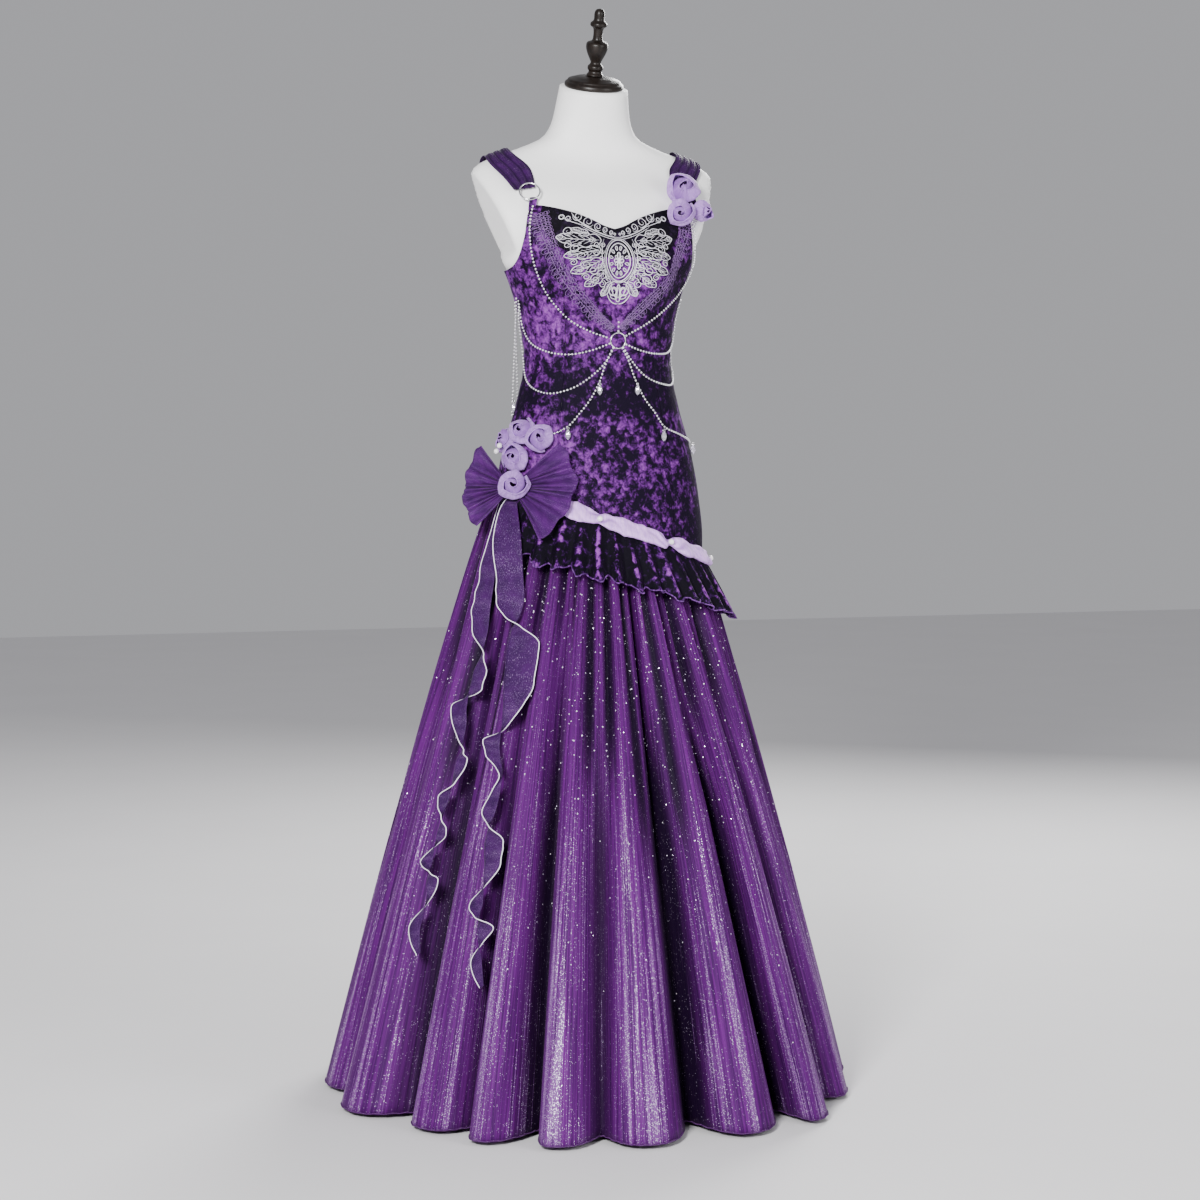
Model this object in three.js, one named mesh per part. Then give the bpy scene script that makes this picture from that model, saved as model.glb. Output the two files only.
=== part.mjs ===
// A mermaid evening dress on a dress form, as a scene graph of closed solids.
// Millimetres, +Z up. The dress faces -Y, and the wearer's right is -X.
import * as THREE from "three";

// Driving dimensions
const hemClearance = 8;
const seamHeightAtCentre = 905;
const seamSlope = -0.36;
const clothWall = 1.8;
const skirtWall = 1.5;
const trimmingWall = 1.2;
const bodiceClearance = 1.0;
const formInset = 2.6;
const seamGap = 0.0019;
const ruffleLength = 90;
const bustReach = 27;
const bustHeight = 1296;
const bustAngle = 30;
const neckTilt = 16;
const poleRadius = 14;
const baseRadius = 165;
const baseThickness = 16;
const formBottom = 700;
const formTop = 1597;

const degree = Math.PI / 180;
const up = new THREE.Vector3(0, 0, 1);

// Sections of the dress form, from the thigh to the neck
const formSections = [
  { height: 700, halfWidth: 158, front: 112, back: 118, centreY: 0 },
  { height: 800, halfWidth: 168, front: 118, back: 130, centreY: 0 },
  { height: 880, halfWidth: 170, front: 118, back: 134, centreY: 0 },
  { height: 950, halfWidth: 163, front: 113, back: 128, centreY: 0 },
  { height: 1020, halfWidth: 150, front: 104, back: 112, centreY: 0 },
  { height: 1090, halfWidth: 130, front: 94, back: 90, centreY: 0 },
  { height: 1165, halfWidth: 116, front: 86, back: 78, centreY: 0 },
  { height: 1220, halfWidth: 122, front: 90, back: 84, centreY: 0 },
  { height: 1280, halfWidth: 138, front: 98, back: 96, centreY: 0 },
  { height: 1330, halfWidth: 160, front: 100, back: 104, centreY: 0 },
  { height: 1380, halfWidth: 192, front: 90, back: 100, centreY: 4 },
  { height: 1425, halfWidth: 210, front: 70, back: 84, centreY: 14 },
  { height: 1455, halfWidth: 204, front: 54, back: 62, centreY: 26 },
  { height: 1475, halfWidth: 184, front: 46, back: 50, centreY: 34 },
  { height: 1490, halfWidth: 150, front: 45, back: 48, centreY: 39 },
  { height: 1503, halfWidth: 112, front: 48, back: 49, centreY: 41 },
  { height: 1521, halfWidth: 76, front: 51, back: 51, centreY: 39 },
  { height: 1545, halfWidth: 63, front: 53, back: 53, centreY: 33 },
  { height: 1570, halfWidth: 58, front: 52, back: 53, centreY: 26 },
  { height: 1597, halfWidth: 54, front: 51, back: 52, centreY: 18 },
];
const sectionPower = 2.15;

// The flat plates where arms would join: their distance from the middle grows with height
const armPlate = { startHeight: 1330, startX: 144, slope: 0.42, slopeBelow: 3 };

// Top edge of the bodice, from the centre front to the strap point, on either side
const neckline = [
  { angle: 0, height: 1366 },
  { angle: 10, height: 1371 },
  { angle: 22, height: 1381 },
  { angle: 35, height: 1390 },
  { angle: 47, height: 1397 },
  { angle: 61, height: 1404 },
];

// Top edge of the side front, across the panel: up to the strap, then down the armhole
const armholeEdge = [
  { across: 0, angle: 47, height: 1397 },
  { across: 0.3, angle: 60, height: 1403 },
  { across: 0.36, angle: 62.3, height: 1398 },
  { across: 0.52, angle: 64, height: 1362 },
  { across: 0.72, angle: 71, height: 1326 },
  { across: 0.86, angle: 79, height: 1311 },
  { across: 1, angle: 88, height: 1306 },
];
const backEdge = [
  { angle: 88, height: 1306 },
  { angle: 120, height: 1304 },
  { angle: 180, height: 1296 },
];

// Princess seam, from the dropped waist up to the neckline
const princessSeam = [
  { share: 0, angle: 44 },
  { share: 0.35, angle: 47 },
  { share: 0.62, angle: 45 },
  { share: 0.8, angle: 39 },
  { share: 1, angle: 47 },
];

// Skirt folds in order round the hem. Each row is one crest: where it stands, how far it
// reaches, how deep the valley after it is, how far that valley leans sideways, into how
// many gathers the fold parts at the top, and how far down those gathers run.
const folds = [
  { angle: -100, reach: 441, valley: 52, lean: 0, gathers: 2, gathersTo: 0.5 },
  { angle: -74, reach: 458, valley: 74, lean: 0, gathers: 3, gathersTo: 0.65 },
  { angle: -52, reach: 446, valley: 66, lean: 1, gathers: 1, gathersTo: 0.4 },
  { angle: -39, reach: 468, valley: 92, lean: 2, gathers: 2, gathersTo: 0.35 },
  { angle: -25, reach: 470, valley: 62, lean: 0, gathers: 2, gathersTo: 0.6 },
  { angle: -7, reach: 462, valley: 112, lean: 2, gathers: 3, gathersTo: 0.7 },
  { angle: 15, reach: 452, valley: 104, lean: 8, gathers: 2, gathersTo: 0.5 },
  { angle: 31, reach: 457, valley: 78, lean: 3, gathers: 2, gathersTo: 0.45 },
  { angle: 54, reach: 418, valley: 46, lean: 0, gathers: 3, gathersTo: 0.6 },
  { angle: 80, reach: 406, valley: 60, lean: -2, gathers: 2, gathersTo: 0.4 },
  { angle: 97, reach: 412, valley: 70, lean: 0, gathers: 2, gathersTo: 0.55 },
  { angle: 116, reach: 425, valley: 52, lean: 2, gathers: 1, gathersTo: 0.5 },
  { angle: 137, reach: 432, valley: 84, lean: -3, gathers: 2, gathersTo: 0.6 },
  { angle: 154, reach: 440, valley: 58, lean: 0, gathers: 1, gathersTo: 0.35 },
  { angle: 173, reach: 445, valley: 76, lean: 3, gathers: 3, gathersTo: 0.6 },
  { angle: 195, reach: 442, valley: 88, lean: 0, gathers: 1, gathersTo: 0.5 },
  { angle: 211, reach: 446, valley: 60, lean: -2, gathers: 1, gathersTo: 0.4 },
  { angle: 231, reach: 438, valley: 72, lean: 0, gathers: 2, gathersTo: 0.55 },
  { angle: 246, reach: 440, valley: 48, lean: 0, gathers: 1, gathersTo: 0.4 },
];
const skirtLevels = [0, 0.045, 0.12, 0.26, 0.47, 0.73, 1];
const flarePower = 0.88;
const foldPinch = 0.5;
const foldGrowth = 0.78;
const gatherDepth = 9;
const sideSeamCrest = 9;

// Small helpers

// A smooth curve through the rows of a table, without overshoot between them.
function curveThrough(rows, along, value) {
  const xs = rows.map((row) => row[along]);
  const ys = rows.map((row) => row[value]);
  const last = xs.length - 1;
  const slopes = xs.slice(1).map((x, i) => (ys[i + 1] - ys[i]) / (x - xs[i]));
  const tangents = xs.map((_, i) => {
    if (i === 0) return slopes[0];
    if (i === last) return slopes[last - 1];
    const [before, after] = [slopes[i - 1], slopes[i]];
    return before * after <= 0 ? 0 : (2 * before * after) / (before + after);
  });
  return (x) => {
    if (x <= xs[0]) return ys[0];
    if (x >= xs[last]) return ys[last];
    let i = 0;
    while (x > xs[i + 1]) i += 1;
    const span = xs[i + 1] - xs[i];
    const t = (x - xs[i]) / span;
    const [t2, t3] = [t * t, t * t * t];
    return (
      (2 * t3 - 3 * t2 + 1) * ys[i] +
      (t3 - 2 * t2 + t) * span * tangents[i] +
      (3 * t2 - 2 * t3) * ys[i + 1] +
      (t3 - t2) * span * tangents[i + 1]
    );
  };
}

const mix = (a, b, t) => a + (b - a) * t;

function ramp(from, to, x) {
  const t = Math.min(1, Math.max(0, (x - from) / (to - from)));
  return t * t * (3 - 2 * t);
}

const bump = (x, centre, width) => Math.exp(-(((x - centre) / width) ** 2));

// The point of surface(a, b) moved along its normal, which is a's direction crossed with b's.
function movedOut(surface, a, b, distance) {
  const step = 1e-3;
  const point = surface(a, b);
  const alongA = surface(a + step, b).sub(surface(a - step, b));
  const alongB = surface(a, b + step).sub(surface(a, b - step));
  const normal = alongA.cross(alongB).normalize();
  return point.addScaledVector(normal, distance);
}

// A geometry from points and triangles, with its faces turned out.
function geometryFrom(points, triangles) {
  let volume = 0;
  for (const [a, b, c] of triangles) {
    volume += points[a].dot(new THREE.Vector3().crossVectors(points[b], points[c]));
  }
  const facing = volume < 0 ? ([a, b, c]) => [a, c, b] : (triangle) => triangle;
  const geometry = new THREE.BufferGeometry();
  geometry.setAttribute(
    "position",
    new THREE.Float32BufferAttribute(points.flatMap((p) => [p.x, p.y, p.z]), 3),
  );
  geometry.setIndex(triangles.flatMap(facing));
  geometry.computeVertexNormals();
  return geometry;
}

// A wall of cloth between an outer and an inner grid of points. Cells named by hole stay open.
function wall({ columns, rows, outer, inner, hole = () => false }) {
  const points = [];
  for (let i = 0; i <= columns; i += 1) {
    for (let j = 0; j <= rows; j += 1) {
      points.push(outer(i / columns, j / rows), inner(i / columns, j / rows));
    }
  }
  const outside = (i, j) => 2 * (i * (rows + 1) + j);
  const inside = (i, j) => outside(i, j) + 1;
  const solid = (i, j) => i >= 0 && i < columns && j >= 0 && j < rows && !hole(i, j);
  const triangles = [];
  const quad = (a, b, c, d) => triangles.push([a, b, c], [a, c, d]);
  for (let i = 0; i < columns; i += 1) {
    for (let j = 0; j < rows; j += 1) {
      if (!solid(i, j)) continue;
      quad(outside(i, j), outside(i + 1, j), outside(i + 1, j + 1), outside(i, j + 1));
      quad(inside(i, j), inside(i, j + 1), inside(i + 1, j + 1), inside(i + 1, j));
      if (!solid(i - 1, j)) {
        quad(outside(i, j + 1), inside(i, j + 1), inside(i, j), outside(i, j));
      }
      if (!solid(i + 1, j)) {
        quad(outside(i + 1, j), inside(i + 1, j), inside(i + 1, j + 1), outside(i + 1, j + 1));
      }
      if (!solid(i, j - 1)) {
        quad(outside(i, j), inside(i, j), inside(i + 1, j), outside(i + 1, j));
      }
      if (!solid(i, j + 1)) {
        quad(outside(i + 1, j + 1), inside(i + 1, j + 1), inside(i, j + 1), outside(i, j + 1));
      }
    }
  }
  return geometryFrom(points, triangles);
}

// A body lofted through rings of points, closed by a fan at each end.
function loft(rings) {
  const size = rings[0].length;
  const points = rings.flat();
  const triangles = [];
  for (let k = 0; k + 1 < rings.length; k += 1) {
    for (let i = 0; i < size; i += 1) {
      const next = (i + 1) % size;
      const [a, b] = [k * size + i, k * size + next];
      triangles.push([a, b, b + size], [a, b + size, a + size]);
    }
  }
  for (const [ring, first] of [
    [rings[0], 0],
    [rings.at(-1), (rings.length - 1) * size],
  ]) {
    const centre = new THREE.Vector3();
    ring.forEach((p) => centre.addScaledVector(p, 1 / size));
    points.push(centre);
    for (let i = 0; i < size; i += 1) {
      const [a, b] = [first + i, first + ((i + 1) % size)];
      triangles.push(first === 0 ? [points.length - 1, b, a] : [points.length - 1, a, b]);
    }
  }
  return geometryFrom(points, triangles);
}

// A turned body from [radius, height] pairs that start and end on the axis.
function turned(profile, segments) {
  const outline = profile.map(([radius, height]) => new THREE.Vector2(radius, height));
  return new THREE.LatheGeometry(outline, segments).rotateX(90 * degree);
}

// Dress form

const sectionOf = Object.fromEntries(
  ["halfWidth", "front", "back", "centreY"].map((value) => [
    value,
    curveThrough(formSections, "height", value),
  ]),
);

// Angles run round the body in degrees: 0 is the centre front, 90 the wearer's left.
function formRadius(angle, height) {
  const [s, c] = [Math.sin(angle * degree), Math.cos(angle * degree)];
  const depth = c > 0 ? sectionOf.front(height) : sectionOf.back(height);
  const round =
    (Math.abs(s) / sectionOf.halfWidth(height)) ** sectionPower +
    (Math.abs(c) / depth) ** sectionPower;
  const turnedAngle = ((angle + 540) % 360) - 180;
  const cups = bump(turnedAngle, bustAngle, 19.5) + bump(turnedAngle, -bustAngle, 19.5);
  const full = round ** (-1 / sectionPower) + bustReach * cups * bump(height, bustHeight, 46);
  const rise = height - armPlate.startHeight;
  const plate = armPlate.startX + rise * (rise > 0 ? armPlate.slope : -armPlate.slopeBelow);
  return Math.min(full, plate / Math.max(Math.abs(s), 1e-6));
}

function polar(angle, radius, height, centreY = 0) {
  const turn = angle * degree;
  return new THREE.Vector3(radius * Math.sin(turn), centreY - radius * Math.cos(turn), height);
}

function formSurface(angle, height) {
  const centreY = sectionOf.centreY(height);
  const point = polar(angle, formRadius(angle, height), height, centreY);
  const tilt = Math.tan(neckTilt * degree) * ramp(1530, formTop, height);
  point.z += (point.y - centreY) * tilt;
  return point;
}

const onForm = (angle, height, distance) => movedOut(formSurface, angle, height, distance);

// The form is a little slimmer under the dress, so the cloth clears it.
function formBody() {
  const heights = [
    formBottom, 800, 890, 965, 1030, 1085, 1125, 1165, 1200, 1235, 1266, 1296, 1326, 1356, 1390,
    1422, 1448, 1466, 1479, 1491, 1504, 1521, 1545, 1570, formTop,
  ];
  const segments = 32;
  return loft(
    heights.map((height) =>
      Array.from({ length: segments }, (_, i) => {
        const angle = (i * 360) / segments;
        const edge = angle < 70 || angle > 290 ? 1390 : 1306;
        const covered = 1 - ramp(edge, edge + 40, height);
        const inward = polar(angle, -formInset * covered, 0);
        return formSurface(angle, height).add(inward);
      }),
    ),
  );
}

const neckCapProfile = [
  [0, 0], [46, 0], [47.5, 3], [46.5, 8], [43, 10], [42, 13], [35, 15], [28, 17.5], [17, 19], [0, 19],
];
const finialProfile = [
  [0, 19.4], [15, 19.4], [11, 24], [10, 27], [12.5, 30], [12.5, 35], [9, 38], [8, 41], [10.5, 46],
  [15, 55], [17.5, 63], [17.5, 70], [15, 73], [8, 75], [7.2, 85], [8, 95], [13.5, 98], [13.5, 103],
  [8, 107], [8.6, 118], [6, 124], [0, 125.5],
];

// Bodice

const seamHeight = (angle) => {
  const x = formRadius(angle, seamHeightAtCentre) * Math.sin(angle * degree);
  return seamHeightAtCentre + seamSlope * x;
};

const topEdgeHeight = curveThrough(neckline, "angle", "height");
const backEdgeHeight = curveThrough(backEdge, "angle", "height");
const princessAngle = curveThrough(princessSeam, "share", "angle");
const armholeAngle = curveThrough(armholeEdge, "across", "angle");
const armholeHeight = curveThrough(armholeEdge, "across", "height");
const sideAngle = () => 88;

// Each panel runs between two seams, given as angles by the share of the way up.
const bodicePanels = [
  {
    name: "bodice_centre_front",
    from: (share) => -princessAngle(share),
    to: princessAngle,
    top: (across) => [mix(-47, 47, across), topEdgeHeight(Math.abs(mix(-47, 47, across)))],
    columns: 10,
  },
  {
    name: "bodice_side_front_left",
    from: princessAngle,
    to: sideAngle,
    top: (across) => [armholeAngle(across), armholeHeight(across)],
    columns: 6,
  },
  {
    name: "bodice_side_front_right",
    from: (share) => -sideAngle(share),
    to: (share) => -princessAngle(share),
    top: (across) => [-armholeAngle(1 - across), armholeHeight(1 - across)],
    columns: 6,
  },
  {
    name: "bodice_back_left",
    from: sideAngle,
    to: () => 180,
    top: (across) => [mix(88, 180, across), backEdgeHeight(mix(88, 180, across))],
    columns: 5,
  },
  {
    name: "bodice_back_right",
    from: () => 180,
    to: () => 272,
    top: (across) => [mix(180, 272, across), backEdgeHeight(360 - mix(180, 272, across))],
    columns: 5,
  },
];
const bodiceLevels = [
  0, 0.09, 0.19, 0.29, 0.38, 0.46, 0.54, 0.61, 0.67, 0.73, 0.78, 0.83, 0.88, 0.93, 0.97, 1,
];

// Where a panel's cloth lies, as [angle, height], for a share across and a share up.
function panelPlace(panel, across, share) {
  const inset = seamGap / degree;
  const [from, to] = [panel.from(share) + inset, panel.to(share) - inset];
  const [topAngle, topHeight] = panel.top(across);
  const [topFrom, topTo] = [panel.top(0)[0] + inset, panel.top(1)[0] - inset];
  const drift = topAngle - mix(topFrom, topTo, across);
  const atSeams = across === 0 || across === 1 ? 0 : drift * share ** 3;
  const angle = mix(from, to, across) + atSeams;
  return [angle, mix(seamHeight(mix(panel.from(0), panel.to(0), across)), topHeight, share)];
}

function bodicePanel(panel) {
  const rows = bodiceLevels.length - 1;
  const layer = (distance) => (across, up) => {
    const [angle, height] = panelPlace(panel, across, bodiceLevels[Math.round(up * rows)]);
    return onForm(angle, height, distance);
  };
  return wall({
    columns: panel.columns,
    rows,
    outer: layer(bodiceClearance + clothWall),
    inner: layer(bodiceClearance),
  });
}
const bodiceOuter = bodiceClearance + clothWall;

// Skirt

const hemReach = (() => {
  const turn = (row, add) => ({ angle: row.angle + add, reach: row.reach });
  const around = [-360, 0, 360].flatMap((add) => folds.map((row) => turn(row, add)));
  return curveThrough(around, "angle", "reach");
})();

// Radius of the skirt's crests at an angle and a share of the way down to the hem.
function crestRadius(angle, share) {
  const top = formRadius(angle, seamHeight(angle)) + bodiceOuter;
  return mix(top, hemReach(angle), Math.max(share, 0) ** flarePower);
}

function shareDown(angle, height) {
  const top = seamHeight(angle);
  return (top - height) / (top - hemClearance);
}

// The skirt's outside. Place counts crests round the hem, so 2.5 is the valley after crest 2.
function skirtSurface(place, share) {
  const index = Math.floor(place);
  const part = place - index;
  const crest = folds[((index % folds.length) + folds.length) % folds.length];
  const turns = Math.floor(index / folds.length) * 360;
  const next = folds[(((index + 1) % folds.length) + folds.length) % folds.length];
  const nextTurns = Math.floor((index + 1) / folds.length) * 360;
  const span = next.angle + nextTurns - crest.angle - turns;
  const grown = Math.max(share, 0) ** foldGrowth;
  const pinch = (foldPinch * grown * Math.sin(2 * Math.PI * part)) / (2 * Math.PI);
  const hollow = Math.sin(Math.PI * part) ** 2;
  const angle = crest.angle + turns + span * (part + pinch) + crest.lean * hollow * grown;
  const gathered = ramp(0, 0.07, share) * (1 - ramp(crest.gathersTo - 0.3, crest.gathersTo, share));
  const gathers = (1 - Math.cos(2 * Math.PI * crest.gathers * part)) / 2;
  const radius =
    crestRadius(angle, share) -
    crest.valley * grown * hollow ** 1.25 -
    gatherDepth * gathered * gathers;
  return polar(angle, radius, mix(seamHeight(angle) - 0.5, hemClearance, share));
}

function skirtPanel(firstCrest, lastCrest) {
  // Each fold gets a column count that suits its gathers.
  const places = [];
  for (let k = firstCrest; k < lastCrest; k += 1) {
    const count = Math.max(6, 4 * folds[k % folds.length].gathers);
    for (let i = 0; i < count; i += 1) places.push(k + i / count);
  }
  places.push(lastCrest);
  places[0] += 0.006;
  places[places.length - 1] -= 0.006;
  const columns = places.length - 1;
  const rows = skirtLevels.length - 1;
  const at = (across, down) => [places[Math.round(across * columns)], skirtLevels[Math.round(down * rows)]];
  return wall({
    columns,
    rows,
    outer: (across, down) => skirtSurface(...at(across, down)),
    inner: (across, down) => {
      const [place, share] = at(across, down);
      const point = movedOut(skirtSurface, place, share, skirtWall);
      point.z = skirtSurface(place, share).z;
      return point;
    },
  });
}

// Velvet flounce below the dropped waist

const flounces = [
  { name: "flounce_front", from: -66, to: 86, waves: 15, phase: 0.2, rows: 3 },
  { name: "flounce_back", from: 86.3, to: 259, waves: 16, phase: 0.65, rows: 2 },
];

function flounceSurface(flounce, across, down) {
  const angle = mix(flounce.from, flounce.to, across);
  const turn = 2 * Math.PI * (flounce.waves * across + flounce.phase);
  const wave = Math.sin(turn + 0.9 * Math.sin(5 * across + flounce.phase));
  const height = seamHeight(angle) - 1 - down * (ruffleLength + 3 * wave * down);
  const radius = crestRadius(angle, shareDown(angle, height)) + 2.4 + 9 * down + 7.5 * wave * down ** 1.1;
  return polar(angle, radius, height);
}

function flounce(row) {
  const surface = (across, down) => flounceSurface(row, across, down);
  return wall({
    columns: row.waves * 4,
    rows: row.rows,
    outer: surface,
    inner: (across, down) => {
      const point = surface(across, down);
      const angle = mix(row.from, row.to, across);
      return point.addScaledVector(polar(angle, 1, 0), -trimmingWall);
    },
  });
}

// Ruched band that hides the seam, pinched under each pearl

const bands = [
  {
    name: "ruched_band_front",
    from: -39,
    to: 86,
    stations: 25,
    pearls: [
      { angle: -15, stand: 10.5 },
      { angle: 35.5, stand: 8.7 },
      { angle: 79, stand: 9.6 },
    ],
  },
  {
    name: "ruched_band_back",
    from: 86.3,
    to: 261,
    stations: 25,
    pearls: [
      { angle: 128, stand: 9.4 },
      { angle: 172, stand: 10.5 },
      { angle: 216, stand: 10.9 },
    ],
  },
];

function bandCentreHeight(angle) {
  return seamHeight(angle) - 1;
}

// Distance from the axis that is clear of the bodice and the flounce at a place.
function clearOfCloth(angle, height) {
  const bodice = formRadius(angle, height) + bodiceOuter + 0.9;
  const below = seamHeight(angle) - height;
  if (below < -3) return bodice;
  const down = Math.max(below, 0) / ruffleLength;
  const flounceRadius = crestRadius(angle, shareDown(angle, height)) + 2.4 + 16.5 * down;
  return Math.max(bodice, flounceRadius + 0.9);
}

function ruchedBand(row) {
  const rings = [];
  for (let k = 0; k <= row.stations; k += 1) {
    const angle = mix(row.from, row.to, k / row.stations);
    const pinch = row.pearls.reduce((sum, bead) => sum + bump(angle, bead.angle, 4.2), 0);
    const ends = 0.35 * (bump(angle, row.from, 3) + bump(angle, row.to, 3));
    const full = 1 - 0.62 * Math.min(1, pinch + ends) + 0.06 * Math.sin(angle * 0.31);
    const halfHeight = 12.5 * full;
    const ring = [];
    for (let i = 0; i < 8; i += 1) {
      const turn = (i / 8) * 2 * Math.PI;
      const height = bandCentreHeight(angle) + halfHeight * Math.sin(turn);
      const depth = Math.cos(turn) > 0.1 ? 9 * full * Math.cos(turn) : 0;
      ring.push(polar(angle, clearOfCloth(angle, height) + depth + 0.7 * full, height));
    }
    for (const i of [3, 4, 5]) {
      const height = ring[i].z;
      ring[i].copy(polar(angle, clearOfCloth(angle, height), height));
    }
    rings.push(ring);
  }
  return loft(rings);
}

// A pearl over each pinch, at its stand from the cloth below the band.
function bandPearl({ angle, stand }) {
  const radius = clearOfCloth(angle, bandCentreHeight(angle)) + stand;
  return new THREE.SphereGeometry(4.6, 8, 5)
    .rotateX(90 * degree)
    .translate(...polar(angle, radius, bandCentreHeight(angle) + 1).toArray());
}

// Shoulder straps of gathered cloth

// The strap's two edges, from the front end over the shoulder to the back of the bodice
const strapEdges = [
  { along: 0, outerAngle: 70.5, outerHeight: 1425, innerAngle: 63, innerHeight: 1429 },
  { along: 0.1, outerAngle: 73.5, outerHeight: 1437, innerAngle: 66, innerHeight: 1446 },
  { along: 0.22, outerAngle: 79, outerHeight: 1457, innerAngle: 72, innerHeight: 1470 },
  { along: 0.36, outerAngle: 90, outerHeight: 1481, innerAngle: 90, innerHeight: 1496 },
  { along: 0.48, outerAngle: 101, outerHeight: 1462, innerAngle: 108, innerHeight: 1474 },
  { along: 0.62, outerAngle: 112, outerHeight: 1420, innerAngle: 122, innerHeight: 1432 },
  { along: 0.8, outerAngle: 124, outerHeight: 1360, innerAngle: 136, innerHeight: 1366 },
  { along: 1, outerAngle: 133, outerHeight: 1306.5, innerAngle: 145, innerHeight: 1305.5 },
];
const strapCurve = Object.fromEntries(
  ["outerAngle", "outerHeight", "innerAngle", "innerHeight"].map((value) => [
    value,
    curveThrough(strapEdges, "along", value),
  ]),
);

function strapSurface(along, across) {
  return formSurface(
    mix(strapCurve.outerAngle(along), strapCurve.innerAngle(along), across),
    mix(strapCurve.outerHeight(along), strapCurve.innerHeight(along), across),
  );
}

// The right strap ends at the ring, and the left one is carried on to the neckline.
function strap(side, frontEnd) {
  const layer = (distance) => (along, across) => {
    const folds = 1 + 0.9 * Math.cos(across * 6 * Math.PI);
    const lift = distance + folds + 3.4 * bump(along, 0, 0.07) + 3.2 * bump(along, 0.42, 0.18);
    const point = movedOut(strapSurface, along, across, lift);
    const fall = frontEnd * (1 - along / 0.1);
    if (along < 0.1 && frontEnd > 0) {
      const lower = onForm(
        mix(70, 60, across) - 1.5 * (fall / frontEnd),
        strapCurve.innerHeight(along) - fall,
        lift,
      );
      point.lerp(lower, ramp(0.1, 0, along));
    }
    point.x *= side;
    return point;
  };
  return wall({ columns: 15, rows: 6, outer: layer(0.8 + trimmingWall), inner: layer(0.8) });
}

// A ring that lies against the form at an angle and a height
function ringAt(angle, height, distance, radius, wire) {
  const centre = onForm(angle, height, distance);
  const normal = onForm(angle, height, distance + 1).sub(centre);
  const turn = new THREE.Quaternion().setFromUnitVectors(up, normal.normalize());
  return new THREE.TorusGeometry(radius, wire, 5, 18)
    .applyQuaternion(turn)
    .translate(...centre.toArray());
}

// A short loop of velvet that joins the strap's ring to the bodice
function strapTab() {
  const layer = (distance) => (across, down) =>
    onForm(
      mix(-63.4, -60, across) + 0.5 * down,
      mix(1412, 1394, down),
      distance + 4.3 * (1 - ramp(0.25, 0.9, down)),
    );
  return wall({ columns: 2, rows: 4, outer: layer(4.5), inner: layer(3.1) });
}

// Velvet yoke, embroidered applique and lace on the bodice front

const yokeLowerEdge = [
  { angle: 0, height: 1322 },
  { angle: 28, height: 1322 },
  { angle: 38, height: 1331 },
  { angle: 47, height: 1341 },
  { angle: 52, height: 1356 },
  { angle: 57, height: 1384 },
];
const appliqueLowerEdge = [
  { angle: 0, height: 1251 },
  { angle: 6, height: 1254 },
  { angle: 9, height: 1266 },
  { angle: 15, height: 1271 },
  { angle: 18, height: 1284 },
  { angle: 25, height: 1290 },
  { angle: 28, height: 1308 },
  { angle: 33, height: 1316 },
  { angle: 36, height: 1332 },
  { angle: 44, height: 1338 },
  { angle: 47, height: 1358 },
  { angle: 49, height: 1377 },
];
const yokeEdge = curveThrough(yokeLowerEdge, "angle", "height");
const appliqueEdge = curveThrough(appliqueLowerEdge, "angle", "height");
const appliqueCentre = 1.5;

function yoke() {
  const layer = (distance) => (across, share) => {
    const angle = mix(-57, 57, across);
    const top = topEdgeHeight(Math.abs(angle)) - 0.4;
    return onForm(angle, mix(yokeEdge(Math.abs(angle)), top, share), distance);
  };
  return wall({ columns: 22, rows: 3, outer: layer(4.8), inner: layer(3.95) });
}

function applique() {
  const layer = (distance, relief) => (across, share) => {
    const half = mix(-49, 49, across);
    const angle = half + appliqueCentre * (1 - Math.abs(half) / 49);
    const top = topEdgeHeight(Math.abs(half)) - 5;
    const height = mix(appliqueEdge(Math.abs(half)), top, share);
    const medallion = bump(half, 0, 8) * bump(height, 1316, 24);
    const scrolls = 0.5 + 0.5 * Math.cos(half * 0.55) * Math.cos((height - 1300) * 0.16);
    return onForm(angle, height, distance + relief * (1.4 * medallion + 0.9 * scrolls));
  };
  return wall({ columns: 26, rows: 5, outer: layer(7.2, 1), inner: layer(6.1, 0) });
}

const lacePaths = [
  {
    name: "lace_right",
    side: -1,
    rows: [
      { along: 0, angle: 57, height: 1390 },
      { along: 0.16, angle: 54, height: 1366 },
      { along: 0.32, angle: 48.5, height: 1336 },
      { along: 0.48, angle: 40, height: 1302 },
      { along: 0.64, angle: 30.5, height: 1268 },
      { along: 0.8, angle: 20, height: 1239 },
      { along: 1, angle: 1.2, height: 1212 },
    ],
  },
  {
    name: "lace_left",
    side: 1,
    rows: [
      { along: 0, angle: 59, height: 1395 },
      { along: 0.16, angle: 58, height: 1366 },
      { along: 0.32, angle: 52.5, height: 1336 },
      { along: 0.48, angle: 42, height: 1304 },
      { along: 0.64, angle: 31, height: 1272 },
      { along: 0.8, angle: 22, height: 1244 },
      { along: 1, angle: 5.4, height: 1212 },
    ],
  },
];
const laceWidth = 24;
const laceRepeats = 11;
const laceAcross = [0, 0.52, 0.8, 1];

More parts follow.
